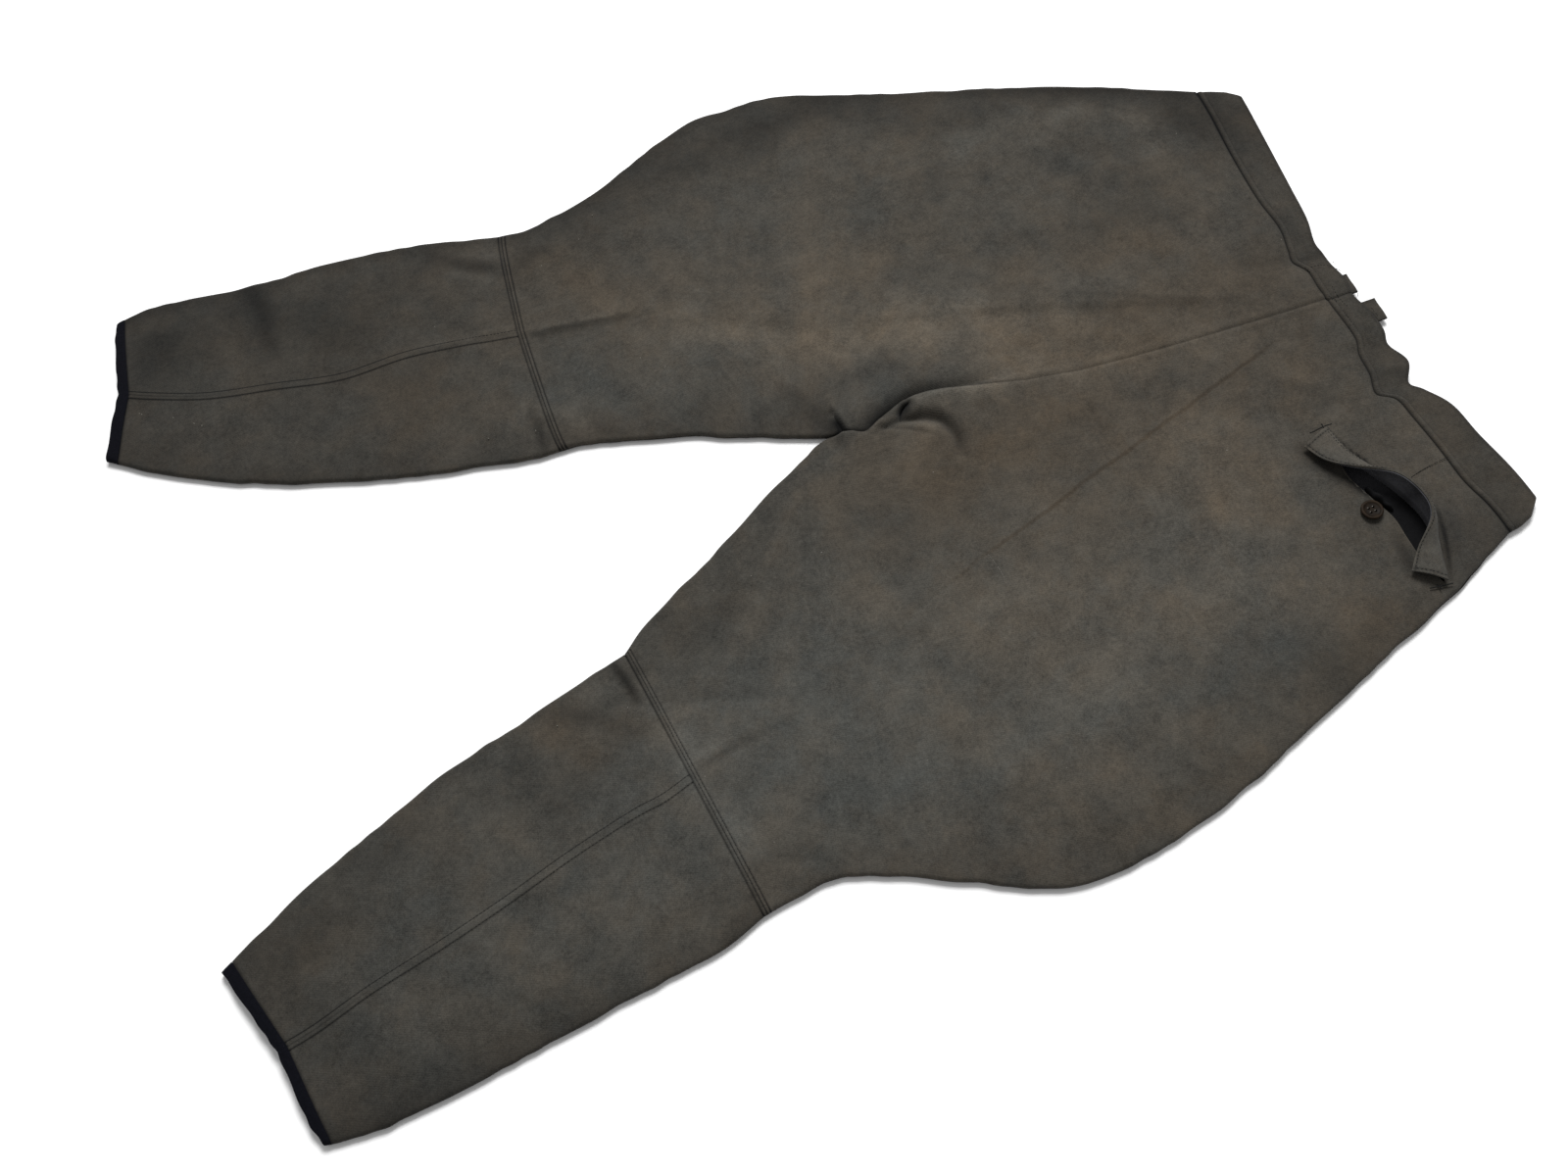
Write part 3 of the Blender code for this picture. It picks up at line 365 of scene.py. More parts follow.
# The hip pocket's flap, from its inner end to the one beside the side seam.
# hinge_x, hinge_y: where it joins the seat. free_x, free_y, free_z: its loose edge, which
# the open mouth lifts up. lip_x, lip_y: the pocket's lower lip.
FLAP_COLUMNS = ("hinge_x", "hinge_y", "free_x", "free_y", "free_z", "lip_x", "lip_y")
FLAP = (
    (389.6, -111, 364.5, -121.2, 12.4, 388.8, -114),
    (393.8, -135, 372.3, -138.5, 15, 386.5, -135),
    (403, -155, 386.5, -153, 19.5, 385, -155),
    (413.5, -177, 412, -171.5, 24.5, 391.5, -177),
    (420.5, -199, 420.5, -196, 27, 398.8, -199),
    (421, -217, 418, -213.3, 24, 399.4, -217),
    (415, -238, 399.7, -229.8, 15.5, 400.5, -237),
    (408, -261, 386.5, -245, 12, 405.5, -257),
)
LINING_CLEAR = 0.7  # between the flap and its lining
SEAT_CLEAR = 0.6  # between the lining and the seat
HINGE_LIFT = FLAP_CLOTH / 2 + LINING_CLEAR + LINING + SEAT_CLEAR  # flap's middle over it
FLAP_BULGE = 2.5  # how far the flap is arched between its hinge and its loose edge
FLAP_DEPTH = 28.0  # hinge to loose edge, along the cloth
FLAP_ROW = 21.0  # length of cloth between two rows of the table
FLAP_LAST = len(FLAP) - 1.0
# The flap's paler shade is painted light, for the light on its raised face.
FLAP_PAINTED_LIGHT, FLAP_TONE = 0.10, -0.10  # the flap is paler and cooler than the seat
FLAP_ENDS = 0.12  # in rows, from each end of the flap to its end stitching
FLAP_EDGE_ROW = 0.92  # share of the depth at which the loose edge is stitched
HINGE_ROWS = ((0.04, 2.05), (0.13, 1.7))  # the same of two rows by the hinge, and their ends
LINING_ENDS = 0.4  # in rows, how far the lining stays inside the flap's two ends
LINING_DEPTH = 0.93  # share of the depth that the lining reaches
LINING_PAINTED_LIGHT = 0.25  # how much paler the lining is painted, to light it in the flap's shadow
# The lining is painted dark again along a line y + slope x = start, the shade of a fold:
# its slope, start, reach, shade.
LINING_LINE = (0.55, 40.0, 5.0, 0.5)
BAG_MARGIN = 7.0  # how far the lining goes on under the cloth round the mouth
BAG_PAINTED_LIGHT = 4.5  # how much paler the bag is painted at the mouth's inner end, in shadow under the flap
BAG_PAINTED_LIGHT_TO = -162.0  # y to which it is that pale
BAG_FADE = 30.0  # distance over which it darkens from there
BAG_HEIGHT = 3.6  # middle of the lining, between the two sides of the garment
HINGE_LEDGE = 1.0  # cloth left between the mouth and the flap's hinge
CUT_HEIGHTS = (-5.0, 40.0)  # the mouth's cutter reaches past both faces of the cloth

BUTTON_AT = (385.8, -188.5)
BUTTON_RADIUS = 8.5
BUTTON_HOLE = 1.05
BUTTON_HOLE_PITCH = 1.9  # distance of a hole from the middle, along x and y
BUTTON_TILT = 4.0  # degrees
BUTTON_SIDES = 72
# The button's section: distance from its middle, and height over its under side.
BUTTON_SECTION = (
    (0, 1.9), (3.6, 2), (5.3, 2.1), (6, 2.35), (6.5, 2.8), (7.2, 3), (7.9, 2.85), (8.35, 2.4),
    (8.5, 1.8), (8.3, 1.2), (7.4, 0.5), (5.5, 0.1), (0, 0),
)

# Two folded loops of cloth that stand out of the waist beside the centre seam.
# y0, y1: their sides. root_x, tip_x: where they start and end.
LOOPS = {
    "left": (14.5, -4, 455, 478),
    "right": (-15, -35.5, 457, 487),
}
LOOP_HEIGHTS = (3.4, 5.0)  # middles of a loop's lower and upper layer
LOOP_SWAY = 0.35  # how far a loop's end waves up and down

# Seams and sewing.
STEP = 2.2  # half of how far one half of the seat stands over the other at the crotch
STEP_SIDES = {"left": (-1.0, 7.0), "right": (1.0, 13.0)}  # down or up, and its reach
KNEE_ROWS = (2.7, 5.5)  # stitched rows on the thigh, from the knee seam
KNEE_ROW_STRIP = 0.4  # half width of the strip of cloth that such a row is worked out from
KNEE_ROW_ENDS = slice(4, -4)  # its points that carry stitches
CALF_ROWS = 3.0  # each of the calf's two stitched rows, from its seam
STITCH_PITCH = 2.9
STITCH_LENGTH = 2.3
THREAD = 0.34  # radius of a stitch at its middle
STITCH_RINGS, STITCH_SIDES = 5, 6
STITCH_CAPS = ((5, 4, 3, 2), (5, 2, 1, 0), (24, 25, 26, 27), (24, 27, 28, 29))
STITCH_CLEAR = 0.1  # from the cloth's face to the middle of a stitch
FINE_CLEAR = 0.05  # the same on the flap and the band
# The end of thread at a hole of the button: its two ends and its place beside the hole's
# middle, and its height over the button's face.
STUB_FROM, STUB_TO, STUB_ASIDE, STUB_OVER = -0.9, 0.1, 0.45, 0.35
UP = (0.0, 0.0, 1.0)

# What a seam or an edge does to the cloth beside it, as sums of bells. A row holds a
# height in mm or a shade, the distance from the seam where it is greatest, and its reach.
# A shade below 0 is painted shadow in a seam's gap or stitched groove, one above 0 a
# painted highlight on a ridge beside it; at the edges it is painted shade with soil.
PROFILES = {
    "knee_height": ((-0.75, 0, 1.1), *((-0.42, row, 0.55) for row in KNEE_ROWS)),
    "knee_shade": ((-0.98, 0, 1), *((-0.97, row, 0.72) for row in KNEE_ROWS),
                   (0.1, 1.9, 0.5), (0.08, 4.1, 0.8)),
    "knee_under": ((0.6, 0, 1.2), *((0.4, row, 0.5) for row in KNEE_ROWS)),
    "seam_under": ((0.6, 0, 1.3),),
    "centre_height": ((0.3, 4, 2.4), (-0.7, 0, 1.5)),
    "centre_shade": ((-0.3, 0, 0.8),),
    "waist_height": ((-1.2, 0, 0.9),),
    "waist_shade": ((-0.98, 0, 1.1),),
    "calf_row_height": ((-0.3, 0, 0.5),),
    "calf_row_shade": ((-0.8, 0, 0.55),),
    "calf_seam_shade": ((-0.3, 0, 0.5),),
    "calf_knee_dip": ((0.7, 0, 1.2),),
    "calf_hem_dip": ((0.5, 0, 1.2),),
    "calf_knee_shade": ((-0.97, 0, 1),),
    "calf_hem_shade": ((-0.4, 0, 1.4),),
    "band_height": ((-1, 0, 0.9), (0.45, 2.6, 1.1), (-0.25, 4.4, 0.8)),
    "band_shade": ((0.12, 2.4, 1), (-0.98, 0, 1.1), (-0.14, 4.4, 0.9)),
    "band_edge_height": ((-0.7, 0, 1.2),),
    "band_edge_shade": ((-0.22, 2.2, 0.7), (-0.55, 0, 1.5)),
    "band_centre_height": ((-0.8, 0, 1.1),),
    "band_centre_shade": ((-0.45, 0, 0.9),),
    "loop_shade": ((-0.35, 0, 1.5),),
    "edge_shade_and_soil": ((0.6, 0, 11), (0.4, 0, 28)),
    # The flap's rim, by the share of its depth, and by rows from its nearer end: a painted
    # highlight on its loose edge, and painted shade in its stitched rows and at its hinge.
    "flap_rim": ((0.12, 1, 0.04), (-0.45, 0.92, 0.03), (-0.5, 0, 0.04)),
    "flap_end": ((-0.4, 0, 0.05),),
}
# What is whole up to a distance and then fades out: that distance, and the fade's length.
FADES = {
    "level": (12, 60),  # sections beside the knee seam that lie level with it
    "kink": (8, 30),  # the knee seam's kink
    "roll": (-0.55, 1.1),  # in rows from the crotch, the inseam's turn to the under side
    "knee_band_in": (0.2, 1),  # the raised band of the knee's pressed seam
    "knee_band_out": (6.2, 1.6),
    "step_in": (26, 14),  # x where the centre seam's step starts and ends
    "step_out": (140, 50),
    "calf_band": (0.2, 0.9),  # the felled calf seam's raised band, from its rows
    "calf_seam": (0, 120),  # the calf seam's own line, from the hem
    "left_row": (35, 40),  # the left calf's upper row is worn away this far from the knee
}
KNEE_BAND = 0.55  # height of the knee's pressed band
CALF_BAND = 0.4  # height of the felled calf seam
UNDER_SHADE = 0.7  # how much darker the wool is in the front side's seams
ROW_WORN = 0.75  # how much of the left calf's upper row is gone beside the knee
RELIEF_KEPT = 2.0  # reach from a rolled edge over which the seams' relief dies out
GATHERS_KEPT = 8.0  # and over which the waist's gathers do
# Two waves of a sewn edge: height, length, sway of its phase, the sway's length, and how
# many times the start counts.
WANDER = ((0.50, 11.0, 2.2, 31.0, 1), (0.25, 4.6, 2.5, 17.0, 2))
WANDER_ENDS = 30.0  # length over which the waves come up from each end
WANDER_IN = 30.0  # and reach this far in from the lower leg's edges
WANDER_START = {"left": 2.0, "right": 5.0}  # phase of the lower leg's first wave
ROUND_POWER = 0.45  # below 1, a kink to the hem is rounded and not pointed

# Short rows of sewing, each a plan curve: start, middle control point and end.
TACKS = (
    (376.5, -110, 380, -110.3, 384.5, -109.3),
    (384.5, -109.3, 390, -108.5, 396, -109),
    (388.6, -106, 388.8, -108, 388.4, -110.5),
    (394, -261, 402, -262.6, 411.5, -263.6),
    (400, -260, 400.8, -262.5, 401.2, -265),
)
DART = (428, -173.5, 444, -169, 463, -168)
BAND_ROWS = (
    (452, 29, 466, 30.5, 472, 16),
    (458.5, 6, 457, -6, 460.5, -17),
    (454, -15, 456, -30, 455, -48),
    (446.5, 37, 448, 31, 449.5, 24),
)
# Thread ends: a plan curve, and the heights of its two ends.
FRAYS = (
    (471, 27.5, 472.5, 26, 472, 24.5, 8.6, 8),
    (451, -2, 453, -3.5, 452.5, -6, 9.6, 10.2),
    (452.5, -5, 455, -6, 454.5, -9, 10, 9.6),
    (474.5, -6, 475.5, -8, 474, -9.5, 8, 7.2),
    (477.6, -24, 478.4, -26, 477.8, -28.5, 8.4, 8.2),
    (478.2, -30, 479, -31.5, 478.6, -33, 8.2, 8),
)
# A pale hair on the seat, and places where a tuft of lint lies.
HAIRS = ((104.2, -116.2, 107.5, -127, 107.8, -139),)
DOTS = (
    (130.1, 254.6), (87.6, -292), (-130.2, 269.4), (-189.7, 188.3), (-181.3, 117), (-218.1, 124),
    (-434.1, 225.9), (-428.6, 221.7), (-152.5, -204.8), (-170.5, -195), (-75, 303.4),
    (-93.1, 283.5), (-60.3, 201.4), (-82.7, 151.1), (-66.5, 136), (-67.4, 134.6), (-229.4, 243.6),
    (-473.5, 251.9), (-471.8, 250.4), (-448.7, 237.7), (-67.2, -66.8), (-187.2, -134.4),
    (-239.3, -128.8), (-149.6, -224.9), (-127.6, -250.4),
)
# The bunched facing beside the button: its spine in plan, half its width, and its height.
FACING_FOLD = (394, -168, 395.5, -180, 403, -192)
FACING_REACH = 2.6
FACING_HEIGHT = 6.2
FACING_CLEAR = 0.6  # between the bag's middle and the fold's feet

# The floor, the lights and the camera, in metres. The key light stands high beyond the
# left leg, toward the waist.
FLOOR_REACH, FLOOR_Z = 6.0, -0.0004
SKY = 0.42  # strength of the light from all round
KEY_PLACE, KEY_AIM = (1.3, 3.2, 4.4), (0.05, 0.0, 0.0)
KEY_SIZE, KEY_POWER = 2.4, 400.0
EYE = Vector((-0.20605, -0.63720, 1.15))
LOOK = Vector((0.12384, 0.43189, -0.89340))
EYE_RIGHT = Vector((0.93567, -0.35063, -0.03980))
LENS, SENSOR = 39.27, 36.0  # mm


# ---------------------------------------------------------------- curves and fields
def catmull(rows, t):
    """Catmull-Rom curve through every column of a table, at row numbers t.

    Between rows b and c, with a before and d after, and f the share of the way:
    half of (2b + (c - a) f + (2a - 5b + 4c - d) f^2 + (3b - a - 3c + d) f^3).
    """
    rows = np.array(rows, float)
    ends = np.vstack([2 * rows[0] - rows[1], rows, 2 * rows[-1] - rows[-2]])
    t = np.clip(np.asarray(t, float), 0.0, len(rows) - 1.0)
    i = np.minimum(t.astype(int), len(rows) - 2)
    f = (t - i)[..., None]
    a, b, c, d = (ends[i + k] for k in range(4))
    cubic = (2 * a - 5 * b + 4 * c - d) * f**2 + (3 * b - a - 3 * c + d) * f**3
    return 0.5 * (2 * b + (c - a) * f + cubic)


def ease(share):
    """3 s^2 - 2 s^3, with s the share held between 0 and 1."""
    share = np.clip(share, 0.0, 1.0)
    return share * share * (3 - 2 * share)


def bell(distance, reach):
    """e to the minus (distance / reach) squared."""
    return np.exp(-((distance / reach) ** 2))


def profile(name, distance):
    """Sum over a profile's rows of height x bell(distance - place, reach)."""
    return sum(height * bell(distance - place, reach)
               for height, place, reach in PROFILES[name])


def fade(name, distance):
    """1 up to the distance that is kept, then eased down to 0 over the fade's length."""
    kept, over = FADES[name]
    return 1 - ease((distance - kept) / over)


def kept_above(height, least, soft=0.6):
    """least + soft log(1 + e^((height - least) / soft)): never below least."""
    return least + soft * np.logaddexp(0.0, (height - least) / soft)


def unit_of(vectors):
    """Vectors divided by their lengths."""
    return vectors / np.maximum(np.linalg.norm(vectors, axis=-1, keepdims=True), 1e-9)


def run_length(points):
    """Distance along a line of points from its first one."""
    return np.concatenate([[0.0], np.cumsum(np.linalg.norm(np.diff(points, axis=0), axis=1))])


def stations(length, coarse, zones):
    """Places along a length: coarse apart, and closer in each zone (start, stop, step).

    The step grows by a quarter of the distance outside a zone. The places are where the
    running total of 1 / step takes whole values, stretched to fit the length.
    """
    at = np.linspace(0.0, length, 8001)
    density = np.full_like(at, 1.0 / coarse)
    for start, stop, step in zones:
        outside = np.maximum(0.0, np.maximum(start - at, at - stop))
        density = np.maximum(density, 1.0 / (step + 0.25 * outside))
    total = np.concatenate([[0.0], np.cumsum((density[1:] + density[:-1]) / 2 * np.diff(at))])
    count = math.ceil(total[-1])
    return np.interp(np.linspace(0.0, total[-1], count + 1), total, at)


def quadratic(row, t):
    """(1 - t)^2 start + 2 t (1 - t) middle + t^2 end, for a row of three plan points."""
    start, middle, end = (np.array(row[i:i + 2]) for i in (0, 2, 4))
    t = t[:, None]
    return (1 - t) ** 2 * start + 2 * t * (1 - t) * middle + t**2 * end


def beside_curve(points, path):
    """Each point's distance from a path, its side of it (left above 0), and how far along."""
    nearest = np.full(len(points), np.inf)
    side = np.zeros(len(points))
    along = np.zeros(len(points))
    for i, (a, b) in enumerate(zip(path, path[1:])):
        run = b - a
        t = np.clip((points - a) @ run / (run @ run), 0.0, 1.0)
        off = points - a - t[:, None] * run
        away = np.hypot(off[:, 0], off[:, 1])
        closer = away < nearest
        nearest[closer] = away[closer]
        side[closer] = (run[0] * off[:, 1] - run[1] * off[:, 0])[closer]
        along[closer] = ((i + t) / (len(path) - 1))[closer]
    return nearest, side, along


def along_curves(plan, table, side):
    """Sum of a table's curved bells at plan points of one side's pieces.

    Each is height x full x bell of the distance from its curve, with its own reach on
    either side; full is (1 - (2 along - 1)^2) to the FADE_POWER. A row whose name starts
    with left or right counts on that side alone.
    """
    other = "right" if side == "left" else "left"
    points = plan.reshape(-1, 2)
    total = np.zeros(len(points))
    for name, row in table.items():
        if name.startswith(other):
            continue
        height, left, right = row[6:]
        path = quadratic(row, np.linspace(0.0, 1.0, CURVE_PIECES + 1))
        margin = BELL_ENDS * max(left, right)
        low, high = path.min(0) - margin, path.max(0) + margin
        near = np.flatnonzero(((points > low) & (points < high)).all(1))
        away, turn, along = beside_curve(points[near], path)
        full = np.clip(1 - (2 * along - 1) ** 2, 0.0, 1.0) ** FADE_POWER
        total[near] += height * full * bell(away, np.where(turn > 0, left, right))
    return total.reshape(plan.shape[:-1])


def edges_held(outer, inner, roll, reach):
    """1 at the side edge and where the inseam is rolled under, 0 well inside them."""
    return np.maximum(bell(outer, reach), roll * bell(inner, reach))


def seat_height(plan, held, side):
    """Middle of the seat side: level where it is held, lofted and folded elsewhere."""
    return kept_above(HIGH + (1 - held) * (LOFT + along_curves(plan, FOLDS, side)), LOWEST)


def patches(plan):
    """Sums of the patches' shade and tone, each times e to the minus (u^2 + v^2).

    u and v are the distances along and across a patch in its reaches. The plan points are
    first moved by waves of 8 and 4 mm along x and along y, so that the outlines wander.
    """
    x, y = plan[..., 0], plan[..., 1]
    x, y = (x + 8 * np.sin(x / 31 + 1.3 * np.sin(y / 23)) + 4 * np.sin(y / 13 + x / 19),
            y + 8 * np.sin(y / 29 + 1.1 * np.sin(x / 27) + 2) + 4 * np.sin(x / 11 - y / 17))
    shade, tone = np.zeros(x.shape), np.zeros(x.shape)
    for centre_x, centre_y, along, across, degrees, lighter, browner in PATCHES:
        c, s = math.cos(math.radians(degrees)), math.sin(math.radians(degrees))
        u = ((x - centre_x) * c + (y - centre_y) * s) / along
        v = ((y - centre_y) * c - (x - centre_x) * s) / across
        weight = np.exp(-u * u - v * v)
        shade += lighter * weight
        tone += browner * weight
    return shade, tone


def wear_and_painted_shade(piece, plan, outer, inner, roll, lines, under=False):
    """The wool's shade and tone at plan points of a seat side's piece, for its material.

    outer and inner are the distances from the two edges, and lines the painted shadow of
    the seams' gaps and stitched rows. Patches, lines and edges hold painted light and shade
    as well as rubbed, stained and soiled wool. The front side has the seat side's patches
    on the other leg.
    """
    shade, tone = patches(plan * [1.0, -1.0] if under else plan)
    if not under:
        # lines of painted shade and painted highlight, with some soil
        shade = shade + along_curves(plan, SHADE_AND_SOIL_LINES, piece.rsplit("_", 1)[1])
    # painted shade toward the edges, together with their soil
    at_outer, at_inner = EDGE_SHADE_AND_SOIL[piece]
    edges = (at_outer * profile("edge_shade_and_soil", outer)
             + at_inner * roll * profile("edge_shade_and_soil", inner))
    return {"shade": shade - edges + lines, "tone": tone}


def waist_at(y, column):
    """A column of the waist table at any y, on the table's smooth curve."""
    table = catmull(WAIST, np.linspace(0.0, len(WAIST) - 1.0, 401))
    return np.interp(y, table[:, 0], table[:, WAIST_COLUMNS.index(column)])


# ---------------------------------------------------------------- meshes
def grid_faces(rows, columns, closed):
    """Corner numbers of the quads of a grid whose points are numbered row by row."""
    index = np.arange(rows * columns).reshape(rows, columns)
    if closed:
        index = np.hstack([index, index[:, :1]])
    corners = (index[:-1, :-1], index[:-1, 1:], index[1:, 1:], index[1:, :-1])
    return np.stack(corners, axis=-1).reshape(-1, 4)


def mesh_from(name, points, faces):
    """A mesh of numbered faces through points in millimetres, shaded smooth."""
    mesh = bpy.data.meshes.new(name)
    mesh.from_pydata((points * MM).tolist(), [], faces.tolist())
    mesh.shade_smooth()
    return mesh


def new_piece(name, mesh, finish):
    """A new object at the origin, with its mesh and its material."""
    mesh.materials.append(finish)
    made = bpy.data.objects.new(name, mesh)
    bpy.context.scene.collection.objects.link(made)
    return made


def give_values(mesh, name, values):
    """A number for each vertex, which the materials read by its name."""
    mesh.attributes.new(name, "FLOAT", "POINT").data.foreach_set("value", values.ravel())


def give_grain(mesh, grain):
    """A UV map in metres whose u runs across the cloth and v along its warp."""
    corner = np.empty(len(mesh.loops), np.int32)
    mesh.loops.foreach_get("vertex_index", corner)
    uv = mesh.uv_layers.new(name="grain")
    uv.data.foreach_set("uv", (grain.reshape(-1, 2) * MM)[corner].ravel())


def settled(made, sharp=50.0):
    """The piece with its modifiers applied, and its corners over the angle kept crisp."""
    graph = bpy.context.evaluated_depsgraph_get()
    mesh = bpy.data.meshes.new_from_object(made.evaluated_get(graph))
    old = made.data
    made.modifiers.clear()
    made.data = mesh
    bpy.data.meshes.remove(old)
    mesh.name = made.name
    mesh.set_sharp_from_angle(angle=math.radians(sharp))
    return made


def wall(name, grid, thick, finish, grain=None, closed=False, **values):
    """A cloth wall whose middle surface is the grid, half its thickness to each side."""
    mesh = mesh_from(name, grid.reshape(-1, 3), grid_faces(*grid.shape[:2], closed))
    for key, value in values.items():
        give_values(mesh, key, value)
    give_grain(mesh, grid[..., :2] if grain is None else grain)
    made = new_piece(name, mesh, finish)
    solid = made.modifiers.new("thickness", "SOLIDIFY")
    solid.thickness = thick * MM
    solid.offset = 0.0
    solid.use_quality_normals = True
    return made


def turned_plan(plan, degrees):
    """Plan points turned so that v runs along a leg that lies at that angle to +X."""
    c, s = math.cos(math.radians(degrees)), math.sin(math.radians(degrees))
    return np.stack([plan[..., 1] * c - plan[..., 0] * s, plan[..., 0] * c + plan[..., 1] * s], -1)


def surface_normals(grid):
    """Unit cross product of a grid's two directions."""
    return unit_of(np.cross(np.gradient(grid, axis=1), np.gradient(grid, axis=0)))


def lifted(points, out, distance):
    """Points moved out by a distance, and the way they were moved: a path for stitches."""
    return points + out * distance, out


def facing_up(normals):
    """Normals turned over where they point down."""
    return normals * np.sign(normals[..., 2:3])


# ---------------------------------------------------------------- thigh and seat panels
def half_curves(side):
    """Tables of a half's side edge, inseam and centre seam."""
    leg, seat = np.array(THIGH[side]), np.array(SEAT)
    own = seat[:, 0:2] if side == "left" else seat[:, 4:6]
    outer = np.vstack([leg[:, 0:2], own])
    inseam = np.vstack([leg[:, 2:4], seat[:1, 2:4]])
    return outer, inseam, seat[:, 2:4]


def edge_at(rows, t):
    """Points of a smooth edge at row numbers t, and its unit normals to the left."""
    t = np.clip(t, 0.0, len(rows) - 1.0)
    run = unit_of(catmull(rows, t + 0.02) - catmull(rows, t - 0.02))
    return catmull(rows, t), np.stack([-run[..., 1], run[..., 0]], -1)


def wander(run, length, start):
    """How far a sewn edge strays from its smooth line: two waves, none at its ends.

    Each wave is height x sin(run / long + sway x sin(run / slow + times x start)).
    """
    wave = sum(height * np.sin(run / long + sway * np.sin(run / slow + times * start))
               for height, long, sway, slow, times in WANDER)
    return wave * ease(run / WANDER_ENDS) * ease((length - run) / WANDER_ENDS)


def inner_at(inseam, centre, t):
    """The inner edge: the inseam up to the crotch, and the centre seam after it."""
    low, low_out = edge_at(inseam, t)
    high, high_out = edge_at(centre, t - CROTCH)
    on_seam = (t >= CROTCH)[..., None]
    return np.where(on_seam, high, low), np.where(on_seam, high_out, low_out)


def inseam_roll(t):
    """1 where the cloth turns down to the inseam, fading to 0 along the centre seam."""
    return fade("roll", t - CROTCH)


def run_tables(side):
    """Row numbers, and the runs from the knee of the middle, the side edge and the inseam."""
    outer, inseam, centre = half_curves(side)
    t = np.linspace(0.0, WAIST_ROW, 60 * WAIST_ROW + 1)
    out, inner = catmull(outer, t), inner_at(inseam, centre, t)[0]
    return t, run_length((out + inner) / 2), run_length(out), run_length(inner)


def half_length(side):
    """Length of a half along its middle, from the knee seam to the waist."""
    return run_tables(side)[1][-1]


def thigh_sections(side, run):
    """A half's sections at distances run from the knee seam.

    Gives the outer point, the unit vector across, the width and the inseam's roll. Beside
    the knee both edges are taken at the same distance from it, so that the sections there
    lie level with the seam.
    """
    outer, inseam, centre = half_curves(side)
    t_all, middle, out_run, in_run = run_tables(side)
    t = np.interp(run, middle, t_all)
    level = fade("level", run)
    t_out = t + level * (np.interp(run, out_run, t_all) - t)
    t_in = t + level * (np.interp(run, in_run, t_all) - t)
    sign = -1.0 if side == "left" else 1.0
    out, out_normal = edge_at(outer, t_out)
    inner, in_normal = inner_at(inseam, centre, t_in)
    roll = inseam_roll(t_in)[:, None]
    inset = SEAM_GAP / 2 + roll * (CLOTH - SEAM_GAP) / 2
    stray = wander(run, middle[-1], sign)[:, None]
    in_stray = roll * wander(run, middle[-1], 4 * sign)[:, None]
    out = out + sign * out_normal * (CLOTH / 2 + stray)
    inner = inner - sign * in_normal * (inset + in_stray)
    across = inner - out
    width = np.linalg.norm(across, axis=1, keepdims=True)
    return out, across / width, width, roll


def drawn(share, seam, kink):
    """How much of a kink there is across a leg: none at its edges and 1 at the calf seam.

    It is pointed where the kink is drawn to the waist, and rounded to the hem.
    """
    reach = np.clip(np.minimum(share / seam, (1 - share) / (1 - seam)), 0.0, 1.0)
    return np.where(kink < 0, reach**ROUND_POWER, reach)


def knee_kink(side, share):
    """How far the knee seam is drawn to the hem, most where the calf seam meets it."""
    seam, most = CALF[side][-1][4:6]
    return most * drawn(share, seam, most)


def thigh_plan(side, run, fractions):
    """Plan points of a half's panel, each one's drop, and its distances from both edges.

    Also the inseam's roll in each row.
    """
    out, unit, width, roll = thigh_sections(side, run)
    into, drop = BEND * (1 - np.cos(BEND_ANGLES)), 1 - np.sin(BEND_ANGLES)
    inner_into = roll * into + (1 - roll) * SEAM_COLUMNS
    first, last = into[-1], width - inner_into[:, -1:]
    middle = first + (last - first) * fractions[1:-1]
    across = np.hstack([into + 0 * width, middle, width - inner_into[:, ::-1]])
    drops = np.hstack([drop + 0 * width, 0 * middle, (roll * drop)[:, ::-1]])
    plan = out[:, None] + unit[:, None] * across[..., None]
    plan[..., 0] += knee_kink(side, across / width) * fade("kink", run)[:, None]
    return plan, drops, across, width - across, roll


def seam_line_x(side, y):
    """x of the straight line between the two ends of a half's last section."""
    outer, _, centre = half_curves(side)
    (x0, y0), (x1, y1) = outer[-1], centre[-1]
    return x0 + (x1 - x0) * (y - y0) / (y1 - y0)


def band_top(y):
    """Height of the middle of the waistband's seat side at its seam."""
    return BAND_HIGH + waist_at(y, "lift")


def knee_relief(run):
    """The thigh beside the knee seam: turned in, pressed open and stitched down twice."""
    band = (1 - fade("knee_band_in", run)) * fade("knee_band_out", run)
    return KNEE_BAND * band + profile("knee_height", run)


def centre_step(x):
    """How far the right half stands over the left where the seam is folded under."""
    return STEP * (1 - fade("step_in", x)) * fade("step_out", x)


def back_grid(side, run, fractions):
    """Middle of the seat and back of the thigh at distances run from the knee seam.

    Also the wool's shade and tone there.
    """
    plan, drops, outer, inner, roll = thigh_plan(side, run, fractions)
    low, high = SEAM_BLEND
    wave = waist_at(plan[..., 1], "seam_x") - SEAM_GAP / 2 - seam_line_x(side, plan[..., 1])
    plan[..., 0] += ease((plan[..., 0] - low) / (high - low)) * wave
    z = seat_height(plan, edges_held(outer, inner, np.maximum(2 * roll - 1, 0), LOFT_REACH), side)
    to_waist = half_length(side) - run[:, None]
    inside = 1 - edges_held(outer, inner, roll, GATHERS_KEPT)
    centre = 1 - roll
    z = z + ease(1 - to_waist / GATHER_REACH) * inside * (band_top(plan[..., 1]) - z)
    z = z + knee_relief(run)[:, None] * (1 - edges_held(outer, inner, roll, RELIEF_KEPT))
    z = z + centre * profile("centre_height", inner)
    z = z + profile("waist_height", to_waist) * inside
    sign, reach = STEP_SIDES[side]
    z = z + sign * centre * centre_step(plan[..., 0]) * bell(inner, reach)
    z = z - drops * (z - SIDE - SIDE_CLEAR)
    lines = (profile("knee_shade", run)[:, None] + profile("waist_shade", to_waist)
             + centre * profile("centre_shade", inner))
    return np.dstack([plan, z]), wear_and_painted_shade("back_" + side, plan, outer, inner, roll, lines)


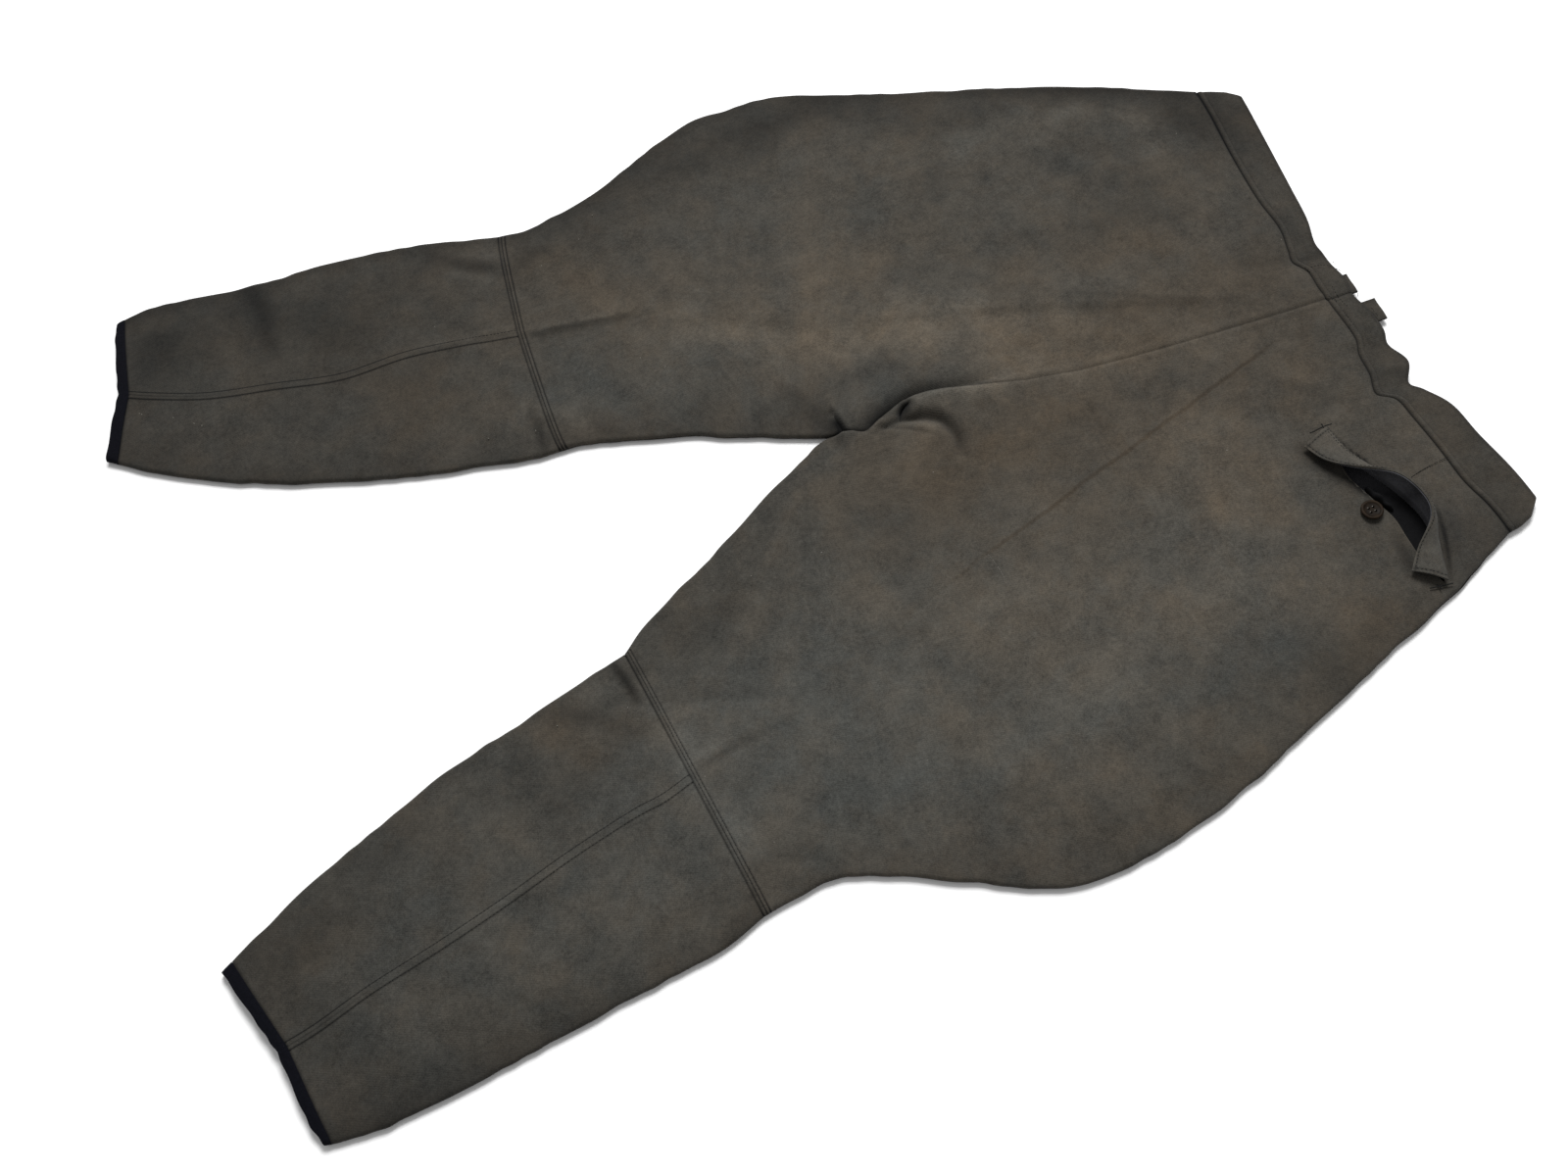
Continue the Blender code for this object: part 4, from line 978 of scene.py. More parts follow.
def front_grid(side, run, fractions):
    """Middle of the front of the thigh, its worn places and painted shade: flat, but turned up at
    its seams.
    """
    plan, drops, outer, inner, roll = thigh_plan(side, run, fractions)
    to_waist = half_length(side) - run[:, None]
    seams = ((1 - roll) * profile("seam_under", inner) + profile("seam_under", to_waist)
             + profile("knee_under", run)[:, None])
    z = LOW + np.minimum(seams, 1.0) * (1 - drops) + drops * (BEND - SIDE_CLEAR)
    lines = -UNDER_SHADE * seams
    values = wear_and_painted_shade("back_" + side, plan, outer, inner, roll, lines, under=True)
    return np.dstack([plan, z]), values


def panel_rows(side, coarse, zones):
    """Distances from the knee seam of a half's sections, clear of both seams."""
    length = half_length(side)
    at = stations(length, coarse, zones)
    at[0], at[-1] = SEAM_GAP / 2, length - SEAM_GAP / 2
    return at


THIGH_ANGLE = {"left": -8.3, "right": 7.5}  # degrees from +X to the warp
CALF_ANGLE = {"left": -13.8, "right": 14.0}
# Steps between sections, and closer ones as (from, to, step): along a half from the knee
# seam, and across it as if it were PANEL_WIDTH wide.
PANEL_WIDTH = 370.0
BACK_STEP, FRONT_STEP = 4.4, 5.0
BACK_ZONES = ((0.0, 7.5, 0.45), (205.0, 295.0, 1.5), (606.0, 640.0, 0.9))
POCKET_ZONE = ((535.0, 600.0, 2.4),)
FRONT_ZONES = ((0.0, 7.5, 0.6), (215.0, 260.0, 3.0), (606.0, 640.0, 1.0))
BACK_ACROSS, FRONT_ACROSS = 3.4, 5.0
CENTRE_ZONE = ((290.0, 370.0, 1.5),)


def back_panel(side, finish):
    """Seat and back of the thigh, with the folds and the waist's gathers."""
    zones = BACK_ZONES + (POCKET_ZONE if side == "right" else ())
    run = panel_rows(side, BACK_STEP, zones)
    fractions = stations(PANEL_WIDTH, BACK_ACROSS, CENTRE_ZONE) / PANEL_WIDTH
    grid, values = back_grid(side, run, fractions)
    grain = turned_plan(grid[..., :2], THIGH_ANGLE[side])
    return wall("back_" + side, grid, CLOTH, finish, grain, **values)


def front_panel(side, finish):
    """Front of the thigh, which lies under the other side."""
    run = panel_rows(side, FRONT_STEP, FRONT_ZONES)
    fractions = stations(PANEL_WIDTH, FRONT_ACROSS, ()) / PANEL_WIDTH
    grid, values = front_grid(side, run, fractions)
    grain = turned_plan(grid[..., :2], THIGH_ANGLE[side])
    values = {name: value[:, ::-1] for name, value in values.items()}
    return wall("front_" + side, grid[:, ::-1], CLOTH, finish, grain[:, ::-1], **values)


# ---------------------------------------------------------------- lower legs
# Distances of the columns beside the calf seam, and how many columns share the rest of
# the way to an edge, and the whole way underneath.
NEAR_SEAM = np.concatenate([np.arange(0.0, 4.6, 0.3), [4.9, 5.4, 6.2, 7.4, 9.0]])
HALF_COLUMNS = 39
UNDER_COLUMNS = 52
LEG_STEP = 2.9  # between sections of the lower leg
ON_TOP = 1.99  # levels above this are the seat side's


def calf_sections(side, run):
    """Rows of the calf table at distances run from the hem, along the leg's middle."""
    t = np.linspace(0.0, len(CALF[side]) - 1.0, 600)
    rows = catmull(CALF[side], t)
    length = run_length((rows[:, 0:2] + rows[:, 2:4]) / 2)
    return catmull(CALF[side], np.interp(run, length, t)), length[-1]


def ring_columns(rows):
    """Distances across a flattened leg, all round from the calf seam over the outer edge.

    Gives each column's distance from the outer edge, its level (2 on the seat side, 0
    underneath), and its distance from the calf seam. The first columns lie at set
    distances from the seam, and the others share what is left.
    """
    outer, inner = rows[:, 0:2], rows[:, 2:4]
    width = np.linalg.norm(inner - outer, axis=1, keepdims=True) - CLOTH
    seam = width * rows[:, 4:5]
    angle = BEND_ANGLES[::-1][1:]
    turn = np.concatenate([angle, -angle[-2::-1]])
    into = BEND * (1 - np.cos(turn))[None]
    up = np.sin(turn)[None]
    share = np.linspace(0.0, 1.0, HALF_COLUMNS)[None, 1:]
    under = np.linspace(0.0, 1.0, UNDER_COLUMNS)[None]
    one = np.ones_like(width)
    start = NEAR_SEAM[-1]
    top_out = np.hstack([seam - NEAR_SEAM * one,
                         seam - start + (BEND - seam + start) * share])
    inside = width - BEND - seam - start
    top_in = np.hstack([width - BEND - inside * share[:, :-1] * one,
                        seam + NEAR_SEAM[::-1] * one])
    beneath = BEND + (width - 2 * BEND) * under
    across = np.hstack([top_out, into * one, beneath, width - into[:, ::-1] * one,
                        width - BEND + 0 * one, top_in])
    level = np.hstack([2.0 + 0 * top_out, (1 + up) * one, 0 * beneath,
                       (1 + up[:, ::-1]) * one, 2.0 + 0 * one, 2.0 + 0 * top_in])
    return across, level, np.where(level > ON_TOP, across - seam, FAR), width


def calf_relief(from_seam):
    """The felled calf seam: a low flat band between its two stitched lines."""
    from_row = np.abs(from_seam) - CALF_ROWS
    return CALF_BAND * fade("calf_band", from_row) + profile("calf_row_height", from_row)


def calf_lines(side, from_seam, to_knee, from_hem):
    """Painted shadow of the lower leg's dark lines: its stitched rows and its two ends.

    The left leg's upper row is worn away beside the knee.
    """
    rows = profile("calf_row_shade", np.abs(from_seam) - CALF_ROWS)
    if side == "left":
        rows = rows * np.where(from_seam < 0, 1 - ROW_WORN * fade("left_row", to_knee), 1.0)
    seam = profile("calf_seam_shade", from_seam) * fade("calf_seam", from_hem)
    ends = profile("calf_knee_shade", to_knee) + profile("calf_hem_shade", from_hem)
    return rows + seam + ends


def ring_plan(side, run):
    """Plan points of the flattened leg's ring, with the hem's and the knee's kink."""
    rows, length = calf_sections(side, run)
    across, level, from_seam, width = ring_columns(rows)
    outer = rows[:, 0:2]
    unit = unit_of(rows[:, 2:4] - outer)
    plan = (outer + unit * CLOTH / 2)[:, None] + unit[:, None] * across[..., None]
    share, seam = across / width, rows[:, 4:5]
    start = WANDER_START[side]
    for edge, phase in ((across, start), (width - across, start + 1)):
        stray = wander(run, length, phase)[:, None] * bell(edge, WANDER_IN)
        plan += unit[:, None] * stray[..., None]
    kink = rows[:, 5:6] * drawn(share, seam, rows[:, 5:6])
    below = 1 - run[:, None] / length
    plan[..., 0] += kink * np.where(level > 1, 1.0, below)
    return plan, level, (across, width - across), from_seam, length


def lower_leg(side, finish):
    """One piece round the lower leg, closed by the felled calf seam up the middle."""
    length = calf_sections(side, np.zeros(1))[1]
    start = BINDING_WIDTH + SEAM_GAP / 2
    at_hem, at_knee = (0.0, 3.0, 0.8), (length - start - 4.0, length, 0.6)
    run = start + stations(length - start - SEAM_GAP / 2, LEG_STEP, (at_hem, at_knee))
    plan, level, sides, from_seam, length = ring_plan(side, run)
    top = seat_height(plan, edges_held(*sides, 1.0, LOFT_REACH), side) + calf_relief(from_seam)
    dip = profile("calf_knee_dip", length - run) + profile("calf_hem_dip", run - start)
    top = top - dip[:, None] * (1 - edges_held(*sides, 1.0, RELIEF_KEPT))
    bottom = LOW + dip[:, None] * (level < 0.01)
    grid = np.dstack([plan, bottom + (top - bottom) * level / 2])
    grain = turned_plan(plan, CALF_ANGLE[side])
    lines = calf_lines(side, from_seam, length - run[:, None], run[:, None] - start)
    above, below = (wear_and_painted_shade("lower_leg_" + side, plan, *sides, 1.0, lines, under)
                    for under in (False, True))
    values = {name: np.where(level > 1, above[name], below[name])[:, :-1] for name in above}
    made = wall("lower_leg_" + side, grid[:, :-1], CLOTH, finish, grain[:, :-1], closed=True,
                **values)
    return made, grid, from_seam


def hem_binding(side, finish):
    """Dark tape folded round the hem: a soft flat ring in line with the lower leg.

    Its loose edge ripples by 0.35 sin(y / 3.1 + 1.7 sin(y / 11)) and follows HEM_EDGE.
    """
    run = stations(BINDING_WIDTH - SEAM_GAP / 2, 0.8, ())
    plan, level, sides, _, _ = ring_plan(side, run)
    share = run[:, None] / BINDING_WIDTH
    puff = BINDING_PUFF * (1 - (2 * share - 1) ** 2)
    y = plan[..., 1]
    stray = 0.35 * np.sin(y / 3.1 + 1.7 * np.sin(y / 11.0))
    stray = stray + sum(into * bell(y - place, reach) for place, reach, into in HEM_EDGE[side])
    plan[..., 0] += stray * (1 - share)
    low = BINDING_CLOTH / 2
    top = seat_height(plan, edges_held(*sides, 1.0, LOFT_REACH), side) + puff
    grid = np.dstack([plan, low + (top - low) * level / 2])
    return wall("hem_binding_" + side, grid[:, :-1], BINDING_CLOTH, finish, closed=True)


# ---------------------------------------------------------------- waistband
def front_waist_line(side):
    """Ends of the front's straight waist seam: y, rising, and x."""
    outer, _, centre = half_curves(side)
    (x0, y0), (x1, y1) = sorted((tuple(outer[-1]), tuple(centre[-1])), key=lambda p: p[1])
    return (y0, y1), (x0, x1)


def band_section(side, end, share, top_reach, under_reach):
    """A line round half of the waistband, at a share of its width from the seam.

    Columns: x, y, z, the painted shadow and highlight of the lines beside its seams, and
    how far round it is from the seat side, 0, to the front, 1.
    """
    sign = 1.0 if side == "left" else -1.0
    centre = BAND_CENTRE + sign * SEAM_GAP / 2
    fold = end - sign * (BAND_CLOTH / 2 + BAND_BEND)
    angle = np.radians(np.linspace(90.0, -90.0, 13))[1:-1]
    top_y = centre + top_reach * (fold - centre)
    under_y = centre + under_reach * (fold - centre)
    y = np.concatenate([top_y, fold + sign * BAND_BEND * np.cos(angle), under_y])
    under = np.arange(len(y)) >= len(top_y) + len(angle)
    lying = np.concatenate([0 * top_y, (1 - np.sin(angle)) / 2, 1 + 0 * under_y])
    low_x = np.where(under, np.interp(y, *front_waist_line(side)), waist_at(y, "seam_x"))
    high_x = waist_at(y, "edge_x") - BAND_BEHIND * lying
    low_x = low_x + SEAM_GAP / 2
    width = high_x - low_x
    run = share * width
    beside = (("band_", run), ("band_edge_", width - run), ("band_centre_", y - centre))
    height = sum(profile(place + "height", distance) for place, distance in beside)
    lines = sum(profile(place + "shade", distance) for place, distance in beside)
    z_top = band_top(y) + height
    z = z_top + (BAND_LOW - z_top) * lying
    return np.column_stack([low_x + run, y, z, lines, lying])


def waistband(side, finish):
    """Half of the waistband: from the centre back over the hip fold to the centre front."""
    top_reach = stations(BAND_LENGTH, BAND_STEP, ((0.0, 3.0, 0.5),)) / BAND_LENGTH
    under_reach = np.linspace(1.0, 0.0, 70)
    near_edges = ((0.0, 5.5, 0.55), (31.0, BAND_WIDTH, 0.6))
    shares = stations(BAND_WIDTH, BAND_STEP, near_edges) / BAND_WIDTH
    ends = np.interp(shares, np.linspace(0.0, 1.0, 4), BAND_END[side])
    rows = [band_section(side, end, share, top_reach, under_reach)
            for end, share in zip(ends, shares)]
    table = np.array(rows)
    if side == "right":
        table = table[:, ::-1]
    grid, lines, lying = table[..., :3], table[..., 3], table[..., 4]
    plan = grid[..., :2]
    shade, tone = patches(plan)
    # the band's painted light and shade from the patches, the shade lines and its seams' lines,
    # with its worn and soiled places
    shade = (shade + along_curves(plan, SHADE_AND_SOIL_LINES, side)) * (1 - lying) + lines
    return wall("waistband_" + side, grid, BAND_CLOTH, finish, plan[..., ::-1],
                shade=shade, tone=tone)


def waist_loop(side, finish):
    """A strip folded double, its two layers side by side between the band's layers."""
    y0, y1, root, tip = LOOPS[side]
    low, high = LOOP_HEIGHTS
    radius = (high - low) / 2
    angle = np.radians(np.linspace(-90.0, 90.0, 11))
    turn = tip - radius - LOOP_CLOTH / 2
    layer = np.linspace(root, turn, 16)[:-1]
    x = np.concatenate([layer, turn + radius * np.cos(angle), layer[::-1]])
    bend_z = (low + high) / 2 + radius * np.sin(angle)
    z = np.concatenate([low + 0 * layer, bend_z, high + 0 * layer])
    y = np.linspace(y0, y1, 14)[:, None]
    sway = LOOP_SWAY * np.sin((y - y0) / 3) * ease((x - root) / (tip - root))
    grid = np.dstack([x + 0 * y, y + 0 * x, z + sway])
    # the loop is darker along both its sides
    side_lines = profile("loop_shade", y - y0) + profile("loop_shade", y - y1) + 0 * x
    return wall("waist_loop_" + side, grid, LOOP_CLOTH, finish, grid[..., 1::-1],
                shade=side_lines, tone=0 * side_lines)


# ---------------------------------------------------------------- hip pocket
def flap_table(t):
    """The flap table's columns by name, at row numbers t."""
    rows = catmull(FLAP, t)
    return {name: rows[..., i] for i, name in enumerate(FLAP_COLUMNS)}


def seat_top(plan):
    """Upper face of the seat away from its edges."""
    return seat_height(plan, 0.0, "right") + CLOTH / 2


def flap_grid(t, share, offset):
    """The flap from its hinge (share 0) to its loose edge (1), moved out by offset.

    A straight line from hinge to edge, arched out by FLAP_BULGE x 4 s (1 - s).
    """
    at = flap_table(t)
    hinge_plan = np.stack([at["hinge_x"], at["hinge_y"]], -1)
    hinge = np.column_stack([hinge_plan, seat_top(hinge_plan) + HINGE_LIFT])
    free = np.column_stack([at["free_x"], at["free_y"], at["free_z"]])
    down = free - hinge
    out = unit_of(np.cross(down, np.gradient(hinge, axis=0)))
    s = share[None, :, None]
    bulge = FLAP_BULGE * 4 * s * (1 - s)
    return hinge[:, None] + down[:, None] * s + out[:, None] * (bulge + offset)


def pocket_flap(finish, lining_finish):
    """The flap's cloth and, on its under side, its lining."""
    t = np.linspace(0.0, FLAP_LAST, 141)
    share = np.linspace(0.0, 1.0, 41)
    from_end = np.minimum(t, FLAP_LAST - t)[:, None] - FLAP_ENDS
    # painted light on the flap's raised face, a painted highlight on its loose edge and painted
    # shade at its hinge and stitched rows
    shade = FLAP_PAINTED_LIGHT + profile("flap_rim", share) + profile("flap_end", from_end)
    grain = np.dstack(np.meshgrid(share * FLAP_DEPTH, t * FLAP_ROW))
    cloth = wall("pocket_flap", flap_grid(t, share, 0.0), FLAP_CLOTH, finish, grain,
                 shade=shade, tone=FLAP_TONE + 0 * shade)
    inward = -(FLAP_CLOTH + LINING) / 2 - LINING_CLEAR
    t = np.linspace(LINING_ENDS, FLAP_LAST - LINING_ENDS, 121)
    depth = np.linspace(0.0, LINING_DEPTH, 24)
    grid = np.hstack([lining_skirt(t), flap_grid(t, depth, inward)])
    # the lining is painted paler to light it in the flap's shadow, and painted dark along a fold
    slope, line, reach, dark = LINING_LINE
    shade = LINING_PAINTED_LIGHT - dark * bell(grid[..., 1] + slope * grid[..., 0] - line, reach)
    return cloth, wall("pocket_flap_lining", grid, LINING, lining_finish, shade=shade)


def lining_skirt(t):
    """The lining below the flap: down into the mouth, clear of its cut edge."""
    at = flap_table(t)
    x = at["hinge_x"] - HINGE_LEDGE - SEAM_GAP - LINING / 2
    top = seat_top(np.column_stack([x, at["hinge_y"]])) + LINING / 2 + SEAM_GAP
    low = BAG_HEIGHT + LINING + SEAM_GAP
    return np.stack([np.column_stack([x, at["hinge_y"], low + share * (top - low)])
                     for share in np.linspace(0.0, 1.0, 7)], 1)


def mouth_lips(count, margin):
    """The upper and lower edge of the pocket's mouth in plan, moved apart by a margin."""
    at = flap_table(np.linspace(0.0, FLAP_LAST, count))
    upper = np.column_stack([at["hinge_x"] - HINGE_LEDGE + margin, at["hinge_y"]])
    return upper, np.column_stack([at["lip_x"] - margin, at["lip_y"]])


def cut_by(made, cutter):
    """Adds the modifier that takes another object's solid out of a piece."""
    hole = made.modifiers.new("hole", "BOOLEAN")
    hole.operation = "DIFFERENCE"
    hole.object = cutter


def cut_mouth(panel, finish):
    """Takes an upright prism over the mouth's outline out of the panel."""
    upper, lower = mouth_lips(57, 0.0)
    outline = np.vstack([upper, lower[::-1]])
    count = len(outline)
    low, high = (np.column_stack([outline, np.full(count, z)]) for z in CUT_HEIGHTS)
    ring = np.arange(count)
    after = (ring + 1) % count
    sides = np.stack([ring, after, after + count, ring + count], -1)
    mesh = bpy.data.meshes.new("mouth_cutter")
    mesh.from_pydata((np.vstack([low, high]) * MM).tolist(), [],
                     sides.tolist() + [ring[::-1].tolist(), (ring + count).tolist()])
    cutter = new_piece("mouth_cutter", mesh, finish)
    tidy_normals(mesh)
    cut_by(panel, cutter)
    settled(panel)
    bpy.data.objects.remove(cutter, do_unlink=True)


def tidy_normals(mesh):
    """Turns every face of a closed mesh to point outwards."""
    shape = bmesh.new()
    shape.from_mesh(mesh)
    bmesh.ops.recalc_face_normals(shape, faces=shape.faces)
    shape.to_mesh(mesh)
    shape.free()


def pocket_bag(finish):
    """The pocket's lining under the mouth: a sheet with a shallow ripple.

    Its height changes by 0.45 sin(x / 5 + y / 16) sin(y / 9), and it is painted paler
    toward the mouth's inner end, where it lies in shadow under the flap.
    """
    upper, lower = mouth_lips(90, BAG_MARGIN)
    stretch = np.linspace(BAG_MARGIN, -BAG_MARGIN, len(upper))
    upper[:, 1] += stretch
    lower[:, 1] += stretch
    share = np.linspace(0.0, 1.0, 24)[None, :, None]
    plan = upper[:, None] + (lower - upper)[:, None] * share
    wave = 0.45 * np.sin(plan[..., 0] / 5.0 + plan[..., 1] / 16.0) * np.sin(plan[..., 1] / 9.0)
    grid = np.dstack([plan, BAG_HEIGHT + wave])
    # painted light toward the mouth's inner end, where the bag lies in shadow under the flap
    bag_light = BAG_PAINTED_LIGHT * (1 - ease((BAG_PAINTED_LIGHT_TO - plan[..., 1]) / BAG_FADE))
    return wall("pocket_bag", grid, LINING, finish, shade=bag_light)


def button_place():
    """Matrix that sets the button down on the seat, leaning a little."""
    seat = seat_top(np.array([BUTTON_AT]))[0]
    lean = BUTTON_RADIUS * math.sin(math.radians(BUTTON_TILT))
    place = Vector((BUTTON_AT[0] * MM, BUTTON_AT[1] * MM, (seat + SEAM_GAP + lean) * MM))
    return Matrix.Translation(place) @ Matrix.Rotation(math.radians(-BUTTON_TILT), 4, "X")


def turned_mesh(name, section, sides):
    """A closed solid: the section turned about Z, its first and last rows on the axis."""
    section = np.array(section)
    angle = np.linspace(0.0, math.tau, sides + 1)[:-1]
    radius, height = section[1:-1, :1], section[1:-1, 1:]
    rings = np.dstack([radius * np.cos(angle), radius * np.sin(angle), height + 0 * angle])
    points = np.vstack([rings.reshape(-1, 3), [[0, 0, section[0, 1]], [0, 0, section[-1, 1]]]])
    ring = np.arange(sides)
    after = (ring + 1) % sides
    top, bottom = len(points) - 2, len(points) - 1
    last = top - sides
    caps = np.vstack([np.stack([ring, after, 0 * ring + top], -1),
                      np.stack([after + last, ring + last, 0 * ring + bottom], -1)])
    mesh = bpy.data.meshes.new(name)
    mesh.from_pydata((points * MM).tolist(), [],
                     grid_faces(len(rings), sides, True).tolist() + caps.tolist())
    mesh.shade_smooth()
    tidy_normals(mesh)
    return mesh


def pocket_button(finish):
    """The button's turned solid, with four holes drilled through it."""
    mesh = turned_mesh("pocket_button", BUTTON_SECTION, BUTTON_SIDES)
    made = new_piece("pocket_button", mesh, finish)
    drills = []
    pitch = BUTTON_HOLE_PITCH * MM
    for x, y in ((1, 1), (-1, 1), (-1, -1), (1, -1)):
        bpy.ops.mesh.primitive_cylinder_add(vertices=20, radius=BUTTON_HOLE * MM, depth=0.02,
                                            location=(x * pitch, y * pitch, 0))
        drills.append(bpy.context.active_object)
        cut_by(made, drills[-1])
    bpy.context.view_layer.update()
    settled(made, 40.0)
    for drill in drills:
        bpy.data.objects.remove(drill, do_unlink=True)
    made.data.transform(button_place())
    return made


# ---------------------------------------------------------------- sewing
def thread_run(path, normals, pitch, length, radius):
    """Points and faces of the stitches along a path on the cloth.

    Each stitch is a spindle of a few six-sided rings: its radius is r sqrt(1 - 0.9 s^2),
    with s from -1 to 1 along it, and its ends dip into the cloth by 0.5 s^2 r / THREAD.
    Stitch n is moved along by 0.12 pitch sin(7.3 n + 2.1 sin(1.7 n)).
    """
    run = run_length(path)
    count = max(1, int(run[-1] / pitch))
    number = np.arange(count)
    at = (number + 0.5) * run[-1] / count
    at = at + 0.12 * pitch * np.sin(7.3 * number + 2.1 * np.sin(1.7 * number))

    def pick(values, where):
        return np.column_stack([np.interp(where, run, column) for column in values.T])

    middle, up = pick(path, at), pick(normals, at)
    ahead = unit_of(pick(path, at + 0.5) - pick(path, at - 0.5))
    aside = unit_of(np.cross(up, ahead))
    s = np.linspace(-1.0, 1.0, STITCH_RINGS)[None, :, None, None]
    turn = np.linspace(0.0, math.tau, STITCH_SIDES + 1)[:-1][None, None, :, None]
    thick = radius * np.sqrt(1 - 0.9 * s**2)

    def spread(vector):
        return vector[:, None, None, :]

    points = (spread(middle) + spread(ahead) * s * length / 2
              + spread(up) * (thick * np.sin(turn) - 0.5 * s**2 * radius / THREAD)
              + spread(aside) * thick * np.cos(turn))
    faces = np.vstack([grid_faces(STITCH_RINGS, STITCH_SIDES, True), STITCH_CAPS])
    first = STITCH_RINGS * STITCH_SIDES * number[:, None, None]
    return points.reshape(-1, 3), (faces[None] + first).reshape(-1, 4)


def at_height(plan, z):
    """Plan points at their heights, and the way up: a path for stitches."""
    return np.column_stack([plan, z]), np.tile(UP, (len(plan), 1))


def sewing(name, runs, finish, pitch=STITCH_PITCH, length=STITCH_LENGTH, radius=THREAD):
    """One piece of the stitches along several paths."""
    points, faces, start = [], [], 0
    for path, normals in runs:
        made, corners = thread_run(path, normals, pitch, length, radius)
        points.append(made)
        faces.append(corners + start)
        start += len(made)
    mesh = mesh_from(name, np.vstack(points), np.vstack(faces))
    tidy_normals(mesh)
    return new_piece(name, mesh, finish)


def knee_sewing(side, finish):
    """The two stitched rows on the thigh beside the knee seam, on the seat side."""
    fractions = np.linspace(0.0, 1.0, 160)
    runs = []
    for row in KNEE_ROWS:
        grid, _ = back_grid(side, row + KNEE_ROW_STRIP * np.array([-1, 0, 1]), fractions)
        path, up = grid[1, KNEE_ROW_ENDS], facing_up(surface_normals(grid))[1, KNEE_ROW_ENDS]
        runs.append(lifted(path, up, CLOTH / 2 + STITCH_CLEAR))
    return sewing("knee_stitching_" + side, runs, finish)


def calf_sewing(side, grid, from_seam, finish):
    """The two stitched lines of the felled calf seam."""
    up = facing_up(surface_normals(grid))
    runs = []
    for place in (-CALF_ROWS, CALF_ROWS):
        column = int(np.argmin(np.abs(from_seam[0] - place)))
        runs.append(lifted(grid[:, column], up[:, column], CLOTH / 2 + STITCH_CLEAR))
    return sewing("calf_stitching_" + side, runs, finish)


def flap_row(t, share):
    """A row of stitches on the flap's outer face, and the way it faces."""
    grid = flap_grid(np.asarray(t), np.asarray(share), 0.0)
    out = surface_normals(grid)
    return lifted(grid, out * np.sign(out[..., 2].mean()), FLAP_CLOTH / 2 + FINE_CLEAR)


def flap_line(share, reach, start, stop, count):
    """A row along the flap at a share of its depth, worked out from a strip of that reach."""
    points, out = flap_row(np.linspace(start, stop, count), (share - reach, share, share + reach))
    return points[:, 1], out[:, 1]


def flap_sewing(finish):
    """Rows inside the flap's loose edge and ends, and two short ones beside its hinge."""
    ends = (FLAP_ENDS, FLAP_LAST - FLAP_ENDS)
    runs = [flap_line(FLAP_EDGE_ROW, 0.06, *ends, 90)]
    for t in ends:
        points, out = flap_row((t - 0.1, t, t + 0.1), np.linspace(0.03, 0.93, 24))
        runs.append((points[1], out[1]))
    runs += [flap_line(share, 0.02, 0.15, stop, 40) for share, stop in HINGE_ROWS]
    return sewing("flap_stitching", runs, finish)


def on_seat(points, clear=STITCH_CLEAR):
    """Plan points set down on the seat: a path for stitches."""
    plan = np.array(points, float)
    return at_height(plan, seat_top(plan) + clear)


def bowed(row, count=24):
    """A plan curve from start over a middle control point to end."""
    return quadratic(row, np.linspace(0.0, 1.0, count))


def bar_tacks(finish):
    """Close thick stitches at both ends of the flap's hinge."""
    runs = [on_seat(bowed(row)) for row in TACKS]
    return sewing("bar_tacks", runs, finish, pitch=0.9, length=1.5, radius=0.5)


def dart_sewing(finish):
    """The dart from the waist seam to the flap, a fine closed seam."""
    return sewing("dart_stitching", [on_seat(bowed(DART, 40))], finish, 2.1, 2.3, 0.26)


def band_sewing(finish):
    """Rows on the waistband at the centre back, round the patch sewn in there."""
    runs = []
    for row in BAND_ROWS:
        plan = bowed(row)
        runs.append(at_height(plan, band_top(plan[:, 1]) + BAND_CLOTH / 2 + FINE_CLEAR))
    return sewing("band_stitching", runs, finish, 2.4, 2.2, 0.26)


def button_thread(finish):
    """A short end of thread at the rim of each of the button's holes."""
    place = np.array(button_place())
    place[:3, 3] /= MM
    runs = []
    for y in (BUTTON_HOLE_PITCH, -BUTTON_HOLE_PITCH):
        for x in (BUTTON_HOLE_PITCH, -BUTTON_HOLE_PITCH):
            stub = np.linspace(x + STUB_FROM, x + STUB_TO, 5)
            z = BUTTON_SECTION[0][1] + STUB_OVER + 0 * stub
            own = np.column_stack([stub, y + STUB_ASIDE + 0 * stub, z, 1 + 0 * stub])
            runs.append(((own @ place.T)[:, :3], np.tile(place[:3, 2], (5, 1))))
    return sewing("button_thread", runs, finish, 1.0, 1.2, 0.36)


def loose_fibres(name, rows, finish, radius, length):
    """Fibres lying on the cloth along short curves."""
    runs = [on_seat(bowed(row), 0.15) for row in rows]
    return sewing(name, runs, finish, length * 0.92, length, radius)


def frayed_ends(finish):
    """Ends of thread that hang from the waistband's edge and its centre seam."""
    runs = []
    for row in FRAYS:
        plan = bowed(row)
        runs.append(at_height(plan, np.linspace(*row[6:], len(plan))))
    return sewing("frayed_ends", runs, finish, 1.3, 1.5, 0.24)


def facing_fold(finish):
    """The bunched end of the lower lip's facing: an arched strip beside the button.

    It swells by sin(pi (0.12 + 0.8 s)), with s from 0 to 1 along it, and its crest waves
    by 1.1 sin(16 s).
    """
    along, round_it = np.linspace(0.0, 1.0, 25), np.linspace(0.0, 1.0, 17)
    spine = bowed(FACING_FOLD, 25)
    run = np.gradient(spine, axis=0)
    aside = unit_of(np.column_stack([-run[:, 1], run[:, 0]]))
    swell = np.sin(np.pi * (0.12 + 0.8 * along))
    turn = np.pi * (round_it - 0.5) * 1.15
    out = FACING_REACH * swell[:, None] * np.sin(turn)[None]
    up = FACING_HEIGHT * swell[:, None] * np.cos(turn)[None] + 1.1 * np.sin(16 * along)[:, None]
    plan = spine[:, None] + aside[:, None] * out[..., None]
    grid = np.dstack([plan, BAG_HEIGHT + FACING_CLEAR + up])
    return wall("facing_fold", grid, LINING, finish, shade=0 * up)


